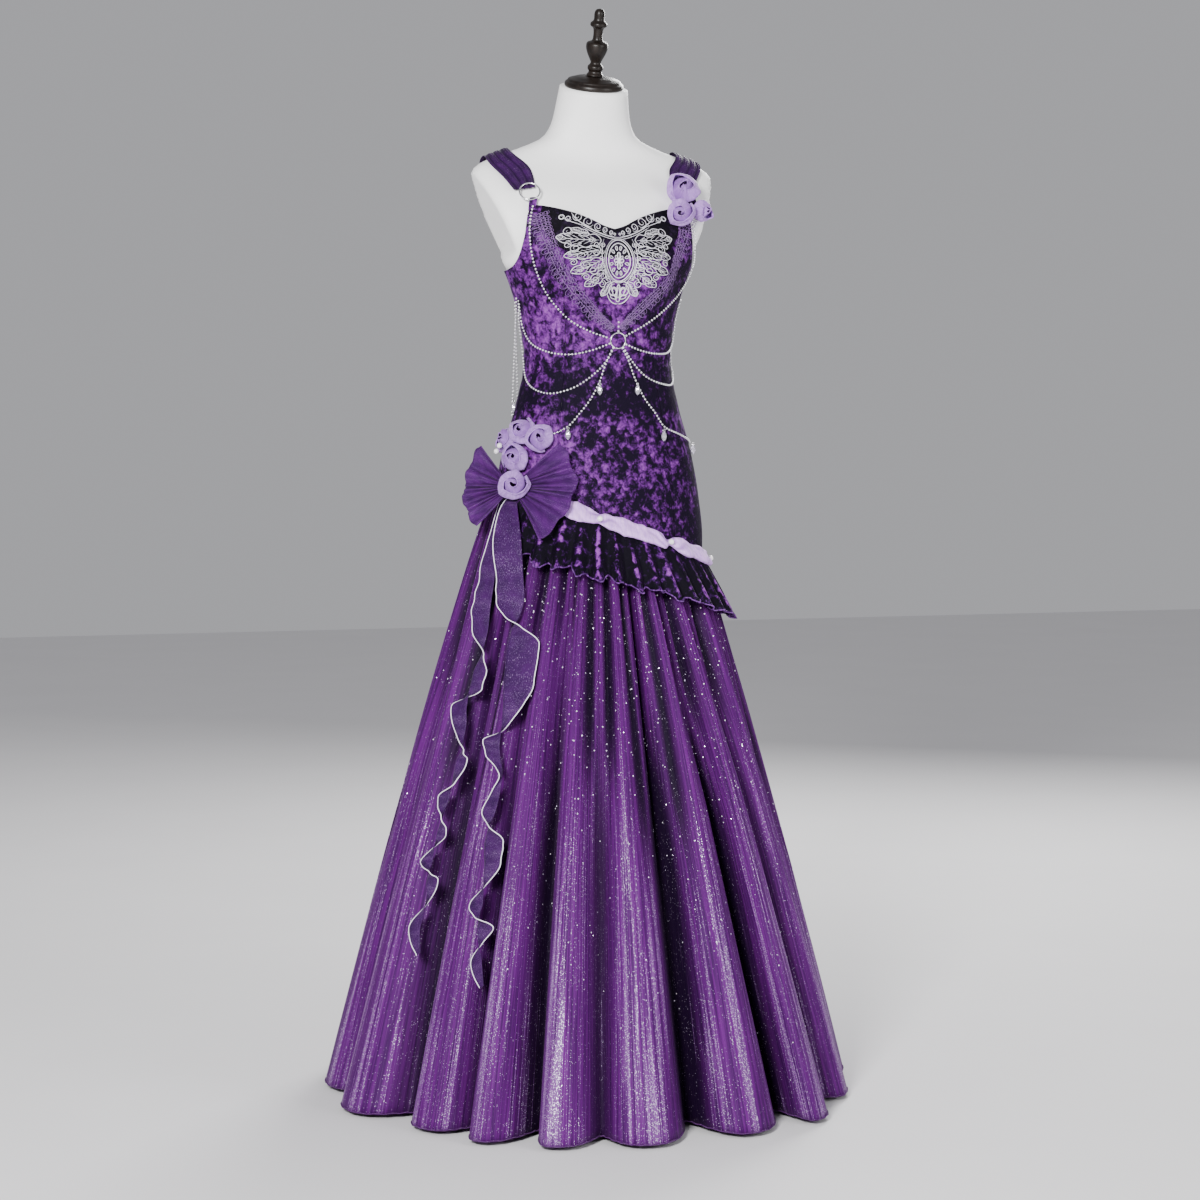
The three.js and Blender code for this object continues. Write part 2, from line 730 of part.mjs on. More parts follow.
function lace({ side, rows }) {
  const angleAt = curveThrough(rows, "along", "angle");
  const heightAt = curveThrough(rows, "along", "height");
  const layer = (distance) => (along, across) => {
    const step = 0.01;
    const radius = 118;
    const run = (angleAt(along + step) - angleAt(along - step)) * degree * radius;
    const fall = heightAt(along + step) - heightAt(along - step);
    const length = Math.hypot(run, fall);
    const narrow = 1 - 0.45 * ramp(0.75, 1, along);
    const offset = (laceAcross[Math.round(across * 3)] - 0.3) * laceWidth * narrow;
    const angle = angleAt(along) - ((fall / length) * offset) / (radius * degree);
    return onForm(side * angle, heightAt(along) + (run / length) * offset, distance);
  };
  return wall({
    columns: laceRepeats * 2,
    rows: 3,
    outer: layer(6.9),
    inner: layer(5.9),
    hole: (i, j) => j === 1 && i % 2 === 1,
  });
}

// Crystal drops that lie on the bodice
const crystals = [
  { name: "crystal_upper_right", angle: -15, height: 1116, stand: 4.0 },
  { name: "crystal_upper_left", angle: 23, height: 1116, stand: 3.9 },
  { name: "crystal_lower_right", angle: -40, height: 1046, stand: 3.7 },
  { name: "crystal_lower_left", angle: 43, height: 1043, stand: 3.5 },
  { name: "crystal_side_left", angle: 80, height: 1020, stand: 4.1 },
  { name: "crystal_side_right", angle: -99, height: 1088, stand: 1.9 },
];

function crystal({ angle, height, stand }) {
  const profile = [[0, -8], [3.2, -4.5], [3.6, 0], [1.6, 6], [0, 7.5]];
  const centre = onForm(angle, height, bodiceOuter + stand);
  return turned(profile, 6).translate(...centre.toArray());
}

// Pleated fan and the roses at the hip

const fanFacing = -38;
const fanLean = 8;
const fanDroop = 0.0052;
const fanNeckRadius = 7;
const fanMiddle = new THREE.Vector3(-160, -65, 965);
const fanNormal = polar(fanFacing, Math.cos(fanLean * degree), Math.sin(fanLean * degree));
const fanRight = polar(fanFacing + 90, 1, 0);
const fanRise = fanNormal.clone().cross(fanRight);

function fanPoint(turn, radius, out) {
  return fanMiddle
    .clone()
    .addScaledVector(fanRight, radius * Math.cos(turn * degree))
    .addScaledVector(fanRise, radius * Math.sin(turn * degree))
    .addScaledVector(fanNormal, out + fanDroop * Math.min(0, radius * Math.sin(turn * degree)) ** 2);
}

const fanLobes = [
  { name: "fan_front_lobe", from: -52, to: 42, reach: 106, pleats: 7, neck: 14 },
  { name: "fan_rear_lobe", from: 130, to: 235, reach: 82, pleats: 7, neck: 17 },
];

// The pleats meet in a narrow neck that is sewn to the bodice.
function fanLobe({ from, to, reach, pleats, neck }) {
  const levels = [0, 0.12, 0.5, 1];
  const layer = (out) => (across, level) => {
    const outward = levels[Math.round(level * 3)];
    const scallop = 1 + 0.03 * Math.sin(across * 23);
    const radius = mix(fanNeckRadius, reach * scallop, outward);
    const crease = Math.round(across * pleats * 2) % 2 === 0 ? 1 : -1;
    const depth = crease * (0.6 + 5.5 * outward);
    const back = outward === 0 ? neck : 0;
    return fanPoint(mix(from, to, across), radius, out + depth - back);
  };
  return wall({ columns: pleats * 2, rows: 3, outer: layer(0.7), inner: layer(-0.7) });
}

// Rolled roses. Each row is one rose: its middle, its radius and the way it faces.
const roses = [
  { name: "hip_rose_low", x: -165.5, y: -83.1, z: 970, radius: 22, facing: -38 },
  { name: "hip_rose_middle", x: -154.7, y: -61.2, z: 1008, radius: 20, facing: -48 },
  { name: "hip_rose_front", x: -118.2, y: -89.4, z: 1043, radius: 21, facing: -42 },
  { name: "hip_rose_top", x: -143.3, y: -55.8, z: 1056, radius: 19, facing: -58 },
  { name: "hip_rose_rear", x: -162.1, y: -19.5, z: 1037, radius: 18, facing: -78 },
  { name: "shoulder_rose_top", x: 123.7, y: -72, z: 1434, radius: 24, facing: 28 },
  { name: "shoulder_rose_inner", x: 110, y: -94.6, z: 1397.3, radius: 22, facing: 12 },
  { name: "shoulder_rose_outer", x: 153.5, y: -73.7, z: 1402, radius: 17, facing: 50 },
];

// A rose is wound from petals, so its sides swell and its rim turns as a spiral.
function rose({ x, y, z, radius, facing }) {
  const centre = new THREE.Vector3(x, y, z);
  const turn = new THREE.Quaternion().setFromUnitVectors(up, polar(facing, 1, 0.2).normalize());
  const levels = [
    { rise: -0.78, spread: 0.42 },
    { rise: -0.45, spread: 0.86 },
    { rise: 0.05, spread: 1 },
    { rise: 0.42, spread: 0.84 },
    { rise: 0.55, spread: 0.5 },
    { rise: 0.36, spread: 0.3 },
  ];
  const segments = 10;
  return loft(
    levels.map(({ rise, spread }, k) =>
      Array.from({ length: segments }, (_, i) => {
        const around = (i / segments) * 2 * Math.PI;
        const petal = 1 + 0.07 * Math.cos(3 * around + 0.8 * k);
        const reach = radius * spread * petal;
        return new THREE.Vector3(
          reach * Math.cos(around),
          reach * Math.sin(around),
          radius * (rise + 0.05 * Math.sin(2 * around + k)),
        )
          .applyQuaternion(turn)
          .add(centre);
      }),
    ),
  );
}

// Streamers: strips whose outer edge winds round an almost straight core as they fall over the
// skirt. Lift is the distance in front of the skirt's crests.

const streamers = [
  {
    name: "streamer_front",
    rows: [
      { angle: -72.5, height: 952, lift: 1.2, coreAngle: -67.5, coreHeight: 953, coreLift: 1.2 },
      { angle: -70.5, height: 932, lift: 16, coreAngle: -61, coreHeight: 932, coreLift: 16 },
      { angle: -66, height: 882, lift: 27, coreAngle: -53, coreHeight: 884, coreLift: 27 },
      { angle: -62, height: 830, lift: 19, coreAngle: -50, coreHeight: 830, coreLift: 19 },
      { angle: -61, height: 796, lift: 12, coreAngle: -48.5, coreHeight: 792, coreLift: 12 },
      { angle: -53, height: 766, lift: 23, coreAngle: -49.5, coreHeight: 764, coreLift: 10 },
      { angle: -46, height: 752, lift: 23, coreAngle: -52, coreHeight: 746, coreLift: 10 },
      { angle: -39, height: 726, lift: 12, coreAngle: -52, coreHeight: 724, coreLift: 12 },
      { angle: -39, height: 670, lift: 12, coreAngle: -50.5, coreHeight: 666, coreLift: 12 },
      { angle: -42.5, height: 630, lift: 12, coreAngle: -49, coreHeight: 628, coreLift: 12 },
      { angle: -49, height: 594, lift: 5, coreAngle: -48, coreHeight: 600, coreLift: 15 },
      { angle: -54, height: 580, lift: 12, coreAngle: -48, coreHeight: 580, coreLift: 12 },
      { angle: -52, height: 558, lift: 12, coreAngle: -47, coreHeight: 558, coreLift: 12 },
      { angle: -45, height: 532, lift: 23, coreAngle: -45.5, coreHeight: 536, coreLift: 10 },
      { angle: -48.5, height: 500, lift: 12, coreAngle: -45, coreHeight: 506, coreLift: 12 },
      { angle: -50, height: 476, lift: 12, coreAngle: -45.5, coreHeight: 478, coreLift: 12 },
      { angle: -46, height: 458, lift: 23, coreAngle: -47, coreHeight: 456, coreLift: 10 },
      { angle: -41.5, height: 434, lift: 12, coreAngle: -47.5, coreHeight: 432, coreLift: 12 },
      { angle: -41.5, height: 404, lift: 12, coreAngle: -46.5, coreHeight: 402, coreLift: 12 },
      { angle: -46, height: 366, lift: 5, coreAngle: -45.5, coreHeight: 374, coreLift: 15 },
      { angle: -49, height: 342, lift: 12, coreAngle: -45, coreHeight: 344, coreLift: 12 },
      { angle: -46, height: 326, lift: 23, coreAngle: -45.5, coreHeight: 328, coreLift: 10 },
      { angle: -41, height: 312, lift: 12, coreAngle: -45.5, coreHeight: 310, coreLift: 12 },
      { angle: -44, height: 286, lift: 5, coreAngle: -44.5, coreHeight: 290, coreLift: 15 },
      { angle: -46, height: 258, lift: 12, coreAngle: -43, coreHeight: 264, coreLift: 12 },
      { angle: -42.5, height: 224, lift: 12, coreAngle: -41.5, coreHeight: 228, coreLift: 12 },
    ],
  },
  {
    name: "streamer_rear",
    rows: [
      { angle: -79, height: 946, lift: 0.4, coreAngle: -74.5, coreHeight: 947, coreLift: 0.4 },
      { angle: -74, height: 886, lift: 9, coreAngle: -67.5, coreHeight: 888, coreLift: 9 },
      { angle: -73, height: 850, lift: 12, coreAngle: -65.5, coreHeight: 852, coreLift: 12 },
      { angle: -71.5, height: 820, lift: 12, coreAngle: -63.5, coreHeight: 818, coreLift: 12 },
      { angle: -71, height: 782, lift: 12, coreAngle: -62.5, coreHeight: 784, coreLift: 12 },
      { angle: -67, height: 738, lift: 12, coreAngle: -61, coreHeight: 742, coreLift: 12 },
      { angle: -58.5, height: 708, lift: 23, coreAngle: -61.5, coreHeight: 712, coreLift: 10 },
      { angle: -58, height: 682, lift: 12, coreAngle: -63, coreHeight: 680, coreLift: 12 },
      { angle: -58.5, height: 654, lift: 12, coreAngle: -63, coreHeight: 656, coreLift: 12 },
      { angle: -65, height: 640, lift: 5, coreAngle: -62.5, coreHeight: 648, coreLift: 15 },
      { angle: -68.5, height: 628, lift: 12, coreAngle: -62.5, coreHeight: 630, coreLift: 12 },
      { angle: -65.5, height: 594, lift: 12, coreAngle: -61, coreHeight: 596, coreLift: 12 },
      { angle: -58.5, height: 564, lift: 23, coreAngle: -61, coreHeight: 566, coreLift: 10 },
      { angle: -58, height: 546, lift: 12, coreAngle: -62, coreHeight: 544, coreLift: 12 },
      { angle: -59, height: 516, lift: 23, coreAngle: -62, coreHeight: 516, coreLift: 10 },
      { angle: -65.5, height: 490, lift: 12, coreAngle: -61.5, coreHeight: 492, coreLift: 12 },
      { angle: -61.5, height: 466, lift: 23, coreAngle: -62.5, coreHeight: 466, coreLift: 10 },
      { angle: -60, height: 440, lift: 12, coreAngle: -63, coreHeight: 440, coreLift: 12 },
      { angle: -63.5, height: 418, lift: 5, coreAngle: -62.5, coreHeight: 424, coreLift: 15 },
      { angle: -66.5, height: 394, lift: 12, coreAngle: -62.5, coreHeight: 398, coreLift: 12 },
      { angle: -61.5, height: 382, lift: 23, coreAngle: -63, coreHeight: 382, coreLift: 10 },
      { angle: -59.5, height: 368, lift: 12, coreAngle: -63, coreHeight: 366, coreLift: 12 },
      { angle: -62.5, height: 330, lift: 5, coreAngle: -61.5, coreHeight: 338, coreLift: 15 },
      { angle: -65.5, height: 294, lift: 12, coreAngle: -62, coreHeight: 300, coreLift: 12 },
      { angle: -61.5, height: 256, lift: 12, coreAngle: -60.5, coreHeight: 262, coreLift: 12 },
    ],
  },
];

function streamer({ rows }) {
  const numbered = rows.map((row, place) => ({ ...row, place: place / (rows.length - 1) }));
  const value = Object.fromEntries(
    Object.keys(rows[0]).map((key) => [key, curveThrough(numbered, "place", key)]),
  );
  const before = (angle, height, lift) =>
    polar(angle, crestRadius(angle, shareDown(angle, height)) + lift, height);
  const strip = (along, across) =>
    before(value.coreAngle(along), value.coreHeight(along), value.coreLift(along)).lerp(
      before(value.angle(along), value.height(along), value.lift(along)),
      across,
    );
  const layer = (distance) => (along, across) => movedOut(strip, along, across, distance);
  return wall({
    columns: 2 * (rows.length - 1),
    rows: 1,
    outer: layer(trimmingWall / 2),
    inner: layer(-trimmingWall / 2),
  });
}

// Materials, one for each kind of stuff
const material = (color, roughness, metalness = 0) =>
  new THREE.MeshStandardMaterial({ color, roughness, metalness });
const formCover = material("#efedec", 0.7);
const darkWood = material("#2a2321", 0.4);
const steel = material("#b9b9bd", 0.3, 0.9);
const velvet = material("#4b1a72", 0.75);
const blackVelvet = material("#0d0812", 0.8);
const glitterOrganza = material("#5a2585", 0.45, 0.2);
const pleatedOrganza = material("#4d2a7a", 0.5, 0.1);
const lilacOrganza = material("#c3a4dc", 0.7);
const silverThread = material("#d9d6e2", 0.4, 0.5);
const laceThread = material("#8b63ad", 0.7);
const silver = material("#d8d8de", 0.2, 1);
const pearl = material("#f3eef2", 0.25);
const crystalGlass = material("#e6e2f0", 0.05);

// Assembly

const dress = new THREE.Group();

function add(name, geometry, stuff) {
  const mesh = new THREE.Mesh(geometry, stuff);
  mesh.name = name;
  dress.add(mesh);
  return mesh;
}

add("form_body", formBody(), formCover);
const neckTop = new THREE.Group();
neckTop.position.copy(polar(0, 0, formTop + 0.3, sectionOf.centreY(formTop)));
neckTop.rotation.x = neckTilt * degree;
for (const [name, profile, segments] of [
  ["neck_cap", neckCapProfile, 18],
  ["finial", finialProfile, 11],
]) {
  const mesh = new THREE.Mesh(turned(profile, segments), darkWood);
  mesh.name = name;
  neckTop.add(mesh);
}
dress.add(neckTop);

const poleProfile = [
  [0, baseThickness + 0.3], [poleRadius, baseThickness + 0.3], [poleRadius, formBottom - 0.3],
  [0, formBottom - 0.3],
];
const baseProfile = [
  [0, 0], [baseRadius, 0], [baseRadius, 9], [baseRadius - 7, baseThickness], [0, baseThickness],
];
add("stand_pole", turned(poleProfile, 16), steel);
add("stand_base", turned(baseProfile, 28), darkWood);

bodicePanels.forEach((panel) => add(panel.name, bodicePanel(panel), velvet));
add("skirt_front", skirtPanel(0, sideSeamCrest), glitterOrganza);
add("skirt_back", skirtPanel(sideSeamCrest, folds.length), glitterOrganza);
flounces.forEach((row) => add(row.name, flounce(row), velvet));
bands.forEach((row) => {
  add(row.name, ruchedBand(row), lilacOrganza);
  row.pearls.forEach((bead, i) => add(`${row.name}_pearl_${i + 1}`, bandPearl(bead), pearl));
});

add("strap_right", strap(-1, 0), pleatedOrganza);
add("strap_left", strap(1, 22), pleatedOrganza);
add("strap_ring", ringAt(-64.3, 1420, 10.5, 16, 1.3), silver);
add("strap_tab", strapTab(), velvet);

add("yoke", yoke(), blackVelvet);
add("applique", applique(), silverThread);
lacePaths.forEach((row) => add(row.name, lace(row), laceThread));
add("centre_ring", ringAt(4, 1194, 5.2, 12.3, 1.1), silver);
crystals.forEach((row) => add(row.name, crystal(row), crystalGlass));

fanLobes.forEach((row) => add(row.name, fanLobe(row), pleatedOrganza));
roses.forEach((row) => add(row.name, rose(row), lilacOrganza));
streamers.forEach((row) => add(row.name, streamer(row), pleatedOrganza));

export default dress;
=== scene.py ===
import math

import bpy
import numpy as np
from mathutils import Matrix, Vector


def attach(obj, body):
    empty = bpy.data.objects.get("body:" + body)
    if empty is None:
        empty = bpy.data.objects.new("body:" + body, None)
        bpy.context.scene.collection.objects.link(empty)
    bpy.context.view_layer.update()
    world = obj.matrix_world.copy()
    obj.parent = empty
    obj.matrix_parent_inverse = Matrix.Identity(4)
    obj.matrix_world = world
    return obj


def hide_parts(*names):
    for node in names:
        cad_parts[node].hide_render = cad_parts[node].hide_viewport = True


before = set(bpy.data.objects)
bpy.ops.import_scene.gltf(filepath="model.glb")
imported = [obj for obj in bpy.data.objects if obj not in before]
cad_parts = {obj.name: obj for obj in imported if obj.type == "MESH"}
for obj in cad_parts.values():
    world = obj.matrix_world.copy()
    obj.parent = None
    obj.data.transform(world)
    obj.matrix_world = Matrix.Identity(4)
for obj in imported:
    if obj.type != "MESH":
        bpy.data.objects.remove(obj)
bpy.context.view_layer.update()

scene = bpy.context.scene
dice = np.random.default_rng(12)
mm = 0.001

# Angles run round the body in degrees: 0 is the centre front, 90 the wearer's left.
# Heights and distances are millimetres until a mesh is made.


# A cubic through a table of places, with a slope at each
def hermite(xs, ys, slopes, at):
    i = np.clip(np.searchsorted(xs, at, side="right") - 1, 0, len(xs) - 2)
    span = xs[i + 1] - xs[i]
    t = (at - xs[i]) / span
    return (
        (2 * t**3 - 3 * t**2 + 1) * ys[i]
        + (t**3 - 2 * t**2 + t) * span * slopes[i]
        + (3 * t**2 - 2 * t**3) * ys[i + 1]
        + (t**3 - t**2) * span * slopes[i + 1]
    )


# A curve through a table that never overshoots it
def curveThrough(xs, ys):
    xs, ys = np.asarray(xs, float), np.asarray(ys, float)
    slopes = np.diff(ys) / np.diff(xs)
    tangents = np.concatenate([slopes[:1], np.zeros(len(xs) - 2), slopes[-1:]])
    before, after = slopes[:-1], slopes[1:]
    same = before * after > 0
    tangents[1:-1][same] = 2 * before[same] * after[same] / (before[same] + after[same])
    return lambda x: hermite(xs, ys, tangents, np.clip(x, xs[0], xs[-1]))


def curves(rows, names):
    columns = np.array(rows, float).T
    return {name: curveThrough(columns[0], column) for name, column in zip(names, columns[1:])}


def mix(a, b, t):
    return a + (b - a) * t


# 0 at start, 1 at end, and smooth between them
def ramp(start, end, x):
    t = np.clip((x - start) / (end - start), 0, 1)
    return t * t * (3 - 2 * t)


# 1 at the centre, falling away on both sides
def bump(x, centre, width):
    return np.exp(-(((x - centre) / width) ** 2))


def polar(angle, radius, height, centreY=0):
    turn = np.radians(angle)
    x, y = radius * np.sin(turn), centreY - radius * np.cos(turn)
    return np.stack(np.broadcast_arrays(x, y, height), -1)


# Shares from 0 to 1 along both sides of a cloth's grid, as a column and a row
def shares(across, down):
    return np.linspace(0, 1, across + 1)[:, None], np.linspace(0, 1, down + 1)[None]


def circle(centre, radius, side, above, count=24):
    turn = np.linspace(0, 2 * np.pi, count + 1)[:-1, None]
    return centre + radius * (np.asarray(side) * np.cos(turn) + np.asarray(above) * np.sin(turn))


def unit(vectors):
    return vectors / np.maximum(np.linalg.norm(vectors, axis=-1, keepdims=True), 1e-9)


# surface(a, b) moved along its normal, which is a's direction crossed with b's
def movedOut(surface, a, b, distance):
    step = 1e-3
    alongA = surface(a + step, b) - surface(a - step, b)
    alongB = surface(a, b + step) - surface(a, b - step)
    return surface(a, b) + unit(np.cross(alongA, alongB)) * np.asarray(distance)[..., None]


# The dress form, from the thigh to the neck
formSections = [
    # height, half width, front, back, centre y
    (700, 158, 112, 118, 0), (800, 168, 118, 130, 0), (880, 170, 118, 134, 0),
    (950, 163, 113, 128, 0), (1020, 150, 104, 112, 0), (1090, 130, 94, 90, 0),
    (1165, 116, 86, 78, 0), (1220, 122, 90, 84, 0), (1280, 138, 98, 96, 0),
    (1330, 160, 100, 104, 0), (1380, 192, 90, 100, 4), (1425, 210, 70, 84, 14),
    (1455, 204, 54, 62, 26), (1475, 184, 46, 50, 34), (1490, 150, 45, 48, 39),
    (1503, 112, 48, 49, 41), (1521, 76, 51, 51, 39), (1545, 63, 53, 53, 33),
    (1570, 58, 52, 53, 26), (1597, 54, 51, 52, 18),
]
formAt = curves(formSections, ["halfWidth", "front", "back", "centreY"])
formBottom, formTop = 700, 1597
neckTilt = math.radians(16)
roundness = 2.15
bustReach, bustAngle, bustHeight = 27, 30, 1296
plateHalfWidth, plateHeight = 144, 1330
bodiceOuter = 2.8
seamMiddle, seamSlope = 905, 0.36
hemHeight = 8


# Rounded sections with two cups, cut flat at the armhole plates
def formRadius(angle, height):
    sine, cosine = np.sin(np.radians(angle)), np.cos(np.radians(angle))
    depth = np.where(cosine > 0, formAt["front"](height), formAt["back"](height))
    wide = (abs(sine) / formAt["halfWidth"](height)) ** roundness
    rounded = wide + (abs(cosine) / depth) ** roundness
    turned = (angle + 540) % 360 - 180
    cups = bump(turned, bustAngle, 19.5) + bump(turned, -bustAngle, 19.5)
    full = rounded ** (-1 / roundness) + bustReach * cups * bump(height, bustHeight, 46)
    rise = height - plateHeight
    plate = plateHalfWidth + rise * np.where(rise > 0, 0.42, -3)
    return np.minimum(full, plate / np.maximum(abs(sine), 1e-6))


def formSurface(angle, height):
    centreY = formAt["centreY"](height)
    point = polar(angle, formRadius(angle, height), height, centreY)
    tilt = math.tan(neckTilt) * ramp(1530, formTop, height)
    point[..., 2] += (point[..., 1] - centreY) * tilt
    return point


# Points at a distance from the form
def onForm(angle, height, distance):
    angle, height, distance = np.broadcast_arrays(angle * 1.0, height * 1.0, distance * 1.0)
    return movedOut(formSurface, angle, height, distance)


# The slanted seam between bodice and skirt, higher on the wearer's right
def seamHeight(angle):
    return seamMiddle - seamSlope * formRadius(angle, seamMiddle) * np.sin(np.radians(angle))


# Meshes


# Four-sided faces of a grid of points. Wrap joins the last row to the first.
def gridFaces(columns, rows, flip=False, wrap=False):
    i, j = np.meshgrid(np.arange(columns), np.arange(rows), indexing="ij")
    step = rows if wrap else rows + 1
    a, b = i * step + j, (i + 1) * step + j
    c, d = i * step + (j + 1) % step, (i + 1) * step + (j + 1) % step
    quads = np.stack([a, b, d, c], -1).reshape(-1, 4)
    return quads[:, ::-1] if flip else quads


# The two faces that close a row of rings
def endFaces(count, sides):
    return [list(range(sides))[::-1], list(range((count - 1) * sides, count * sides))]


# Points are in millimetres here, and in metres in the mesh.
def addMesh(name, points, faces, uvs=None, smooth=True):
    mesh = bpy.data.meshes.new(name)
    faces = faces.tolist() if isinstance(faces, np.ndarray) else faces
    mesh.from_pydata((np.asarray(points).reshape(-1, 3) * mm).tolist(), [], faces)
    mesh.update()
    if smooth:
        mesh.shade_smooth()
    if uvs is not None:
        corners = np.zeros(len(mesh.loops), np.int32)
        mesh.loops.foreach_get("vertex_index", corners)
        layer = mesh.uv_layers.new(name="cut")
        layer.data.foreach_set("uv", np.asarray(uvs, np.float32).reshape(-1, 2)[corners].ravel())
    made = bpy.data.objects.new(name, mesh)
    scene.collection.objects.link(made)
    return made


# A grid of cloth over a = 0..1 and b = 0..1, with its cut size in metres as the uv
def clothGrid(name, surface, across, down, size, wall, flip=False, offset=-1.0):
    a = np.linspace(0, 1, across + 1) if isinstance(across, int) else across
    b = np.linspace(0, 1, down + 1) if isinstance(down, int) else down
    gridA, gridB = np.meshgrid(a, b, indexing="ij")
    points = surface(gridA, gridB)
    uvs = np.stack([gridA * size[0], gridB * size[1]], -1)
    made = addMesh(name, points, gridFaces(len(a) - 1, len(b) - 1, flip), uvs)
    solid = made.modifiers.new("wall", "SOLIDIFY")
    solid.thickness = wall * mm
    solid.offset = offset
    return made


# A value at each point of a mesh, for its material
def keepValue(made, name, values):
    layer = made.data.attributes.new(name, "FLOAT", "POINT")
    layer.data.foreach_set("value", np.asarray(values, np.float32).ravel())


# Length of a path up to each of its points
def runAlong(path):
    return np.concatenate([[0], np.cumsum(np.linalg.norm(np.diff(path, axis=0), axis=1))])


# Many small shapes that end up in one mesh
class Batch:
    def __init__(self):
        self.points = []
        self.faces = []
        self.uvs = []
        self.count = 0

    def add(self, points, faces, uvs=None):
        points = points.reshape(-1, 3)
        self.faces += [[corner + self.count for corner in face] for face in faces]
        self.points.append(points)
        self.uvs.append(np.zeros((len(points), 2)) if uvs is None else uvs.reshape(-1, 2))
        self.count += len(points)

    # A tube along a path. Its uv is the length so far in millimetres and the turn round it.
    def tube(self, path, outward, radius, flat=1.0, sides=6, close=False):
        ahead = np.roll(path, -1, 0) - np.roll(path, 1, 0)
        if not close:
            ahead[0], ahead[-1] = path[1] - path[0], path[-1] - path[-2]
        along = unit(ahead)
        side = unit(np.cross(along, outward))
        above = np.cross(side, along)
        turn = np.arange(sides) * 2 * np.pi / sides
        radius = np.broadcast_to(np.asarray(radius, float), len(path))[:, None, None]
        ring = side[:, None] * np.cos(turn)[:, None] + above[:, None] * (flat * np.sin(turn))[:, None]
        points = path[:, None] + radius * ring
        uvs = np.stack(np.broadcast_arrays(runAlong(path)[:, None], turn), -1)
        if close:
            points = np.concatenate([points, points[:1]])
            uvs = np.concatenate([uvs, uvs[-1:]])
        count = len(points)
        faces = gridFaces(count - 1, sides, wrap=True).tolist()
        if not close:
            faces += endFaces(count, sides)
        self.add(points, faces, uvs)

    def make(self, name, smooth=True):
        points, uvs = np.concatenate(self.points), np.concatenate(self.uvs)
        return addMesh(name, points, self.faces, uvs, smooth)


# Points of a table of places, spread evenly along its length
def evenly(points, spacing):
    run = runAlong(points)
    count = max(2, int(round(run[-1] / spacing)) + 1)
    at = np.linspace(0, run[-1], count)
    return np.stack([np.interp(at, run, points[:, k]) for k in range(3)], -1)


# A smooth path over the form through rows of angle, height and distance
def pathOnForm(rows, spacing):
    table = np.array(rows, float)
    reach = runAlong(table[:, :2] * (2, 1))
    along = np.linspace(0, reach[-1], 400)
    path = onForm(*[hermite(reach, column, np.gradient(column, reach), along) for column in table.T])
    return evenly(path, spacing)


# The way out of the body's axis at points of a path
def outwardOf(path):
    return unit(path * (1, 1, 0) - (0, 15, 0))


def ball(radius, segments, rings):
    turn = np.tile(np.arange(segments) * 2 * np.pi / segments, rings - 1)
    lift = np.repeat(np.linspace(-np.pi / 2, np.pi / 2, rings + 1)[1:-1], segments)
    belt = np.stack([np.cos(lift) * np.cos(turn), np.cos(lift) * np.sin(turn), np.sin(lift)], -1)
    points = radius * np.concatenate([[[0, 0, -1]], belt, [[0, 0, 1]]])
    faces = []
    last = len(points) - 1
    for i in range(segments):
        following = (i + 1) % segments
        faces.append([0, 1 + following, 1 + i])
        for k in range(rings - 2):
            a, b = 1 + k * segments, 1 + (k + 1) * segments
            faces.append([a + i, a + following, b + following, b + i])
        top = 1 + (rings - 2) * segments
        faces.append([top + i, top + following, last])
    return points, faces


# A turned body from rows of radius and height, its corners rounded by cutting them
def turnedMesh(name, profile, segments=72, cuts=2, place=None):
    line = np.array(profile, float)
    for _ in range(cuts):
        cut = [line[0]]
        for a, b in zip(line[:-1], line[1:]):
            cut += [mix(a, b, 0.22), mix(a, b, 0.78)]
        line = np.array(cut + [line[-1]])
    turn = np.arange(segments)[:, None] * 2 * np.pi / segments
    radius, height = line.T
    points = np.stack(np.broadcast_arrays(radius * np.cos(turn), radius * np.sin(turn), height), -1)
    points = np.concatenate([points, points[:1]])
    if place is not None:
        points = place(points)
    made = addMesh(name, points, gridFaces(segments, len(line) - 1))
    weld = made.modifiers.new("weld", "WELD")
    weld.merge_threshold = 1e-5
    return made


# Materials


# A number, colour or direction in a material's nodes
class Signal:
    def __init__(self, stuff, socket, kind="value"):
        self.stuff = stuff
        self.socket = socket
        self.kind = kind

    def joined(self, operation, other, swapped=False):
        pair = {0: other, 1: self} if swapped else {0: self, 1: other}
        kinds = (self.kind, getattr(other, "kind", "value"))
        if "vector" not in kinds:
            return self.stuff.node("ShaderNodeMath", {"operation": operation}, pair)
        if operation == "MULTIPLY" and kinds[1] == "value" and not isinstance(other, tuple):
            operation, pair = "SCALE", {0: self, "Scale": other}
        return self.stuff.node("ShaderNodeVectorMath", {"operation": operation}, pair, 0, "vector")

    def __add__(self, other):
        return self.joined("ADD", other)

    def __radd__(self, other):
        return self.joined("ADD", other, True)

    def __sub__(self, other):
        return self.joined("SUBTRACT", other)

    def __rsub__(self, other):
        return self.joined("SUBTRACT", other, True)

    def __mul__(self, other):
        return self.joined("MULTIPLY", other)

    def __rmul__(self, other):
        return self.joined("MULTIPLY", other)

    # 0 below start, 1 above end, and smooth between them
    def between(self, start, end):
        return self.stuff.node(
            "ShaderNodeMapRange",
            {"interpolation_type": "SMOOTHSTEP"},
            {"Value": self, "From Min": start, "From Max": end},
        )

    # This signal chooses between two colours
    def blend(self, low, high):
        return self.stuff.node(
            "ShaderNodeMix", {"data_type": "RGBA"}, {0: self, 6: low, 7: high}, 2, "colour"
        )


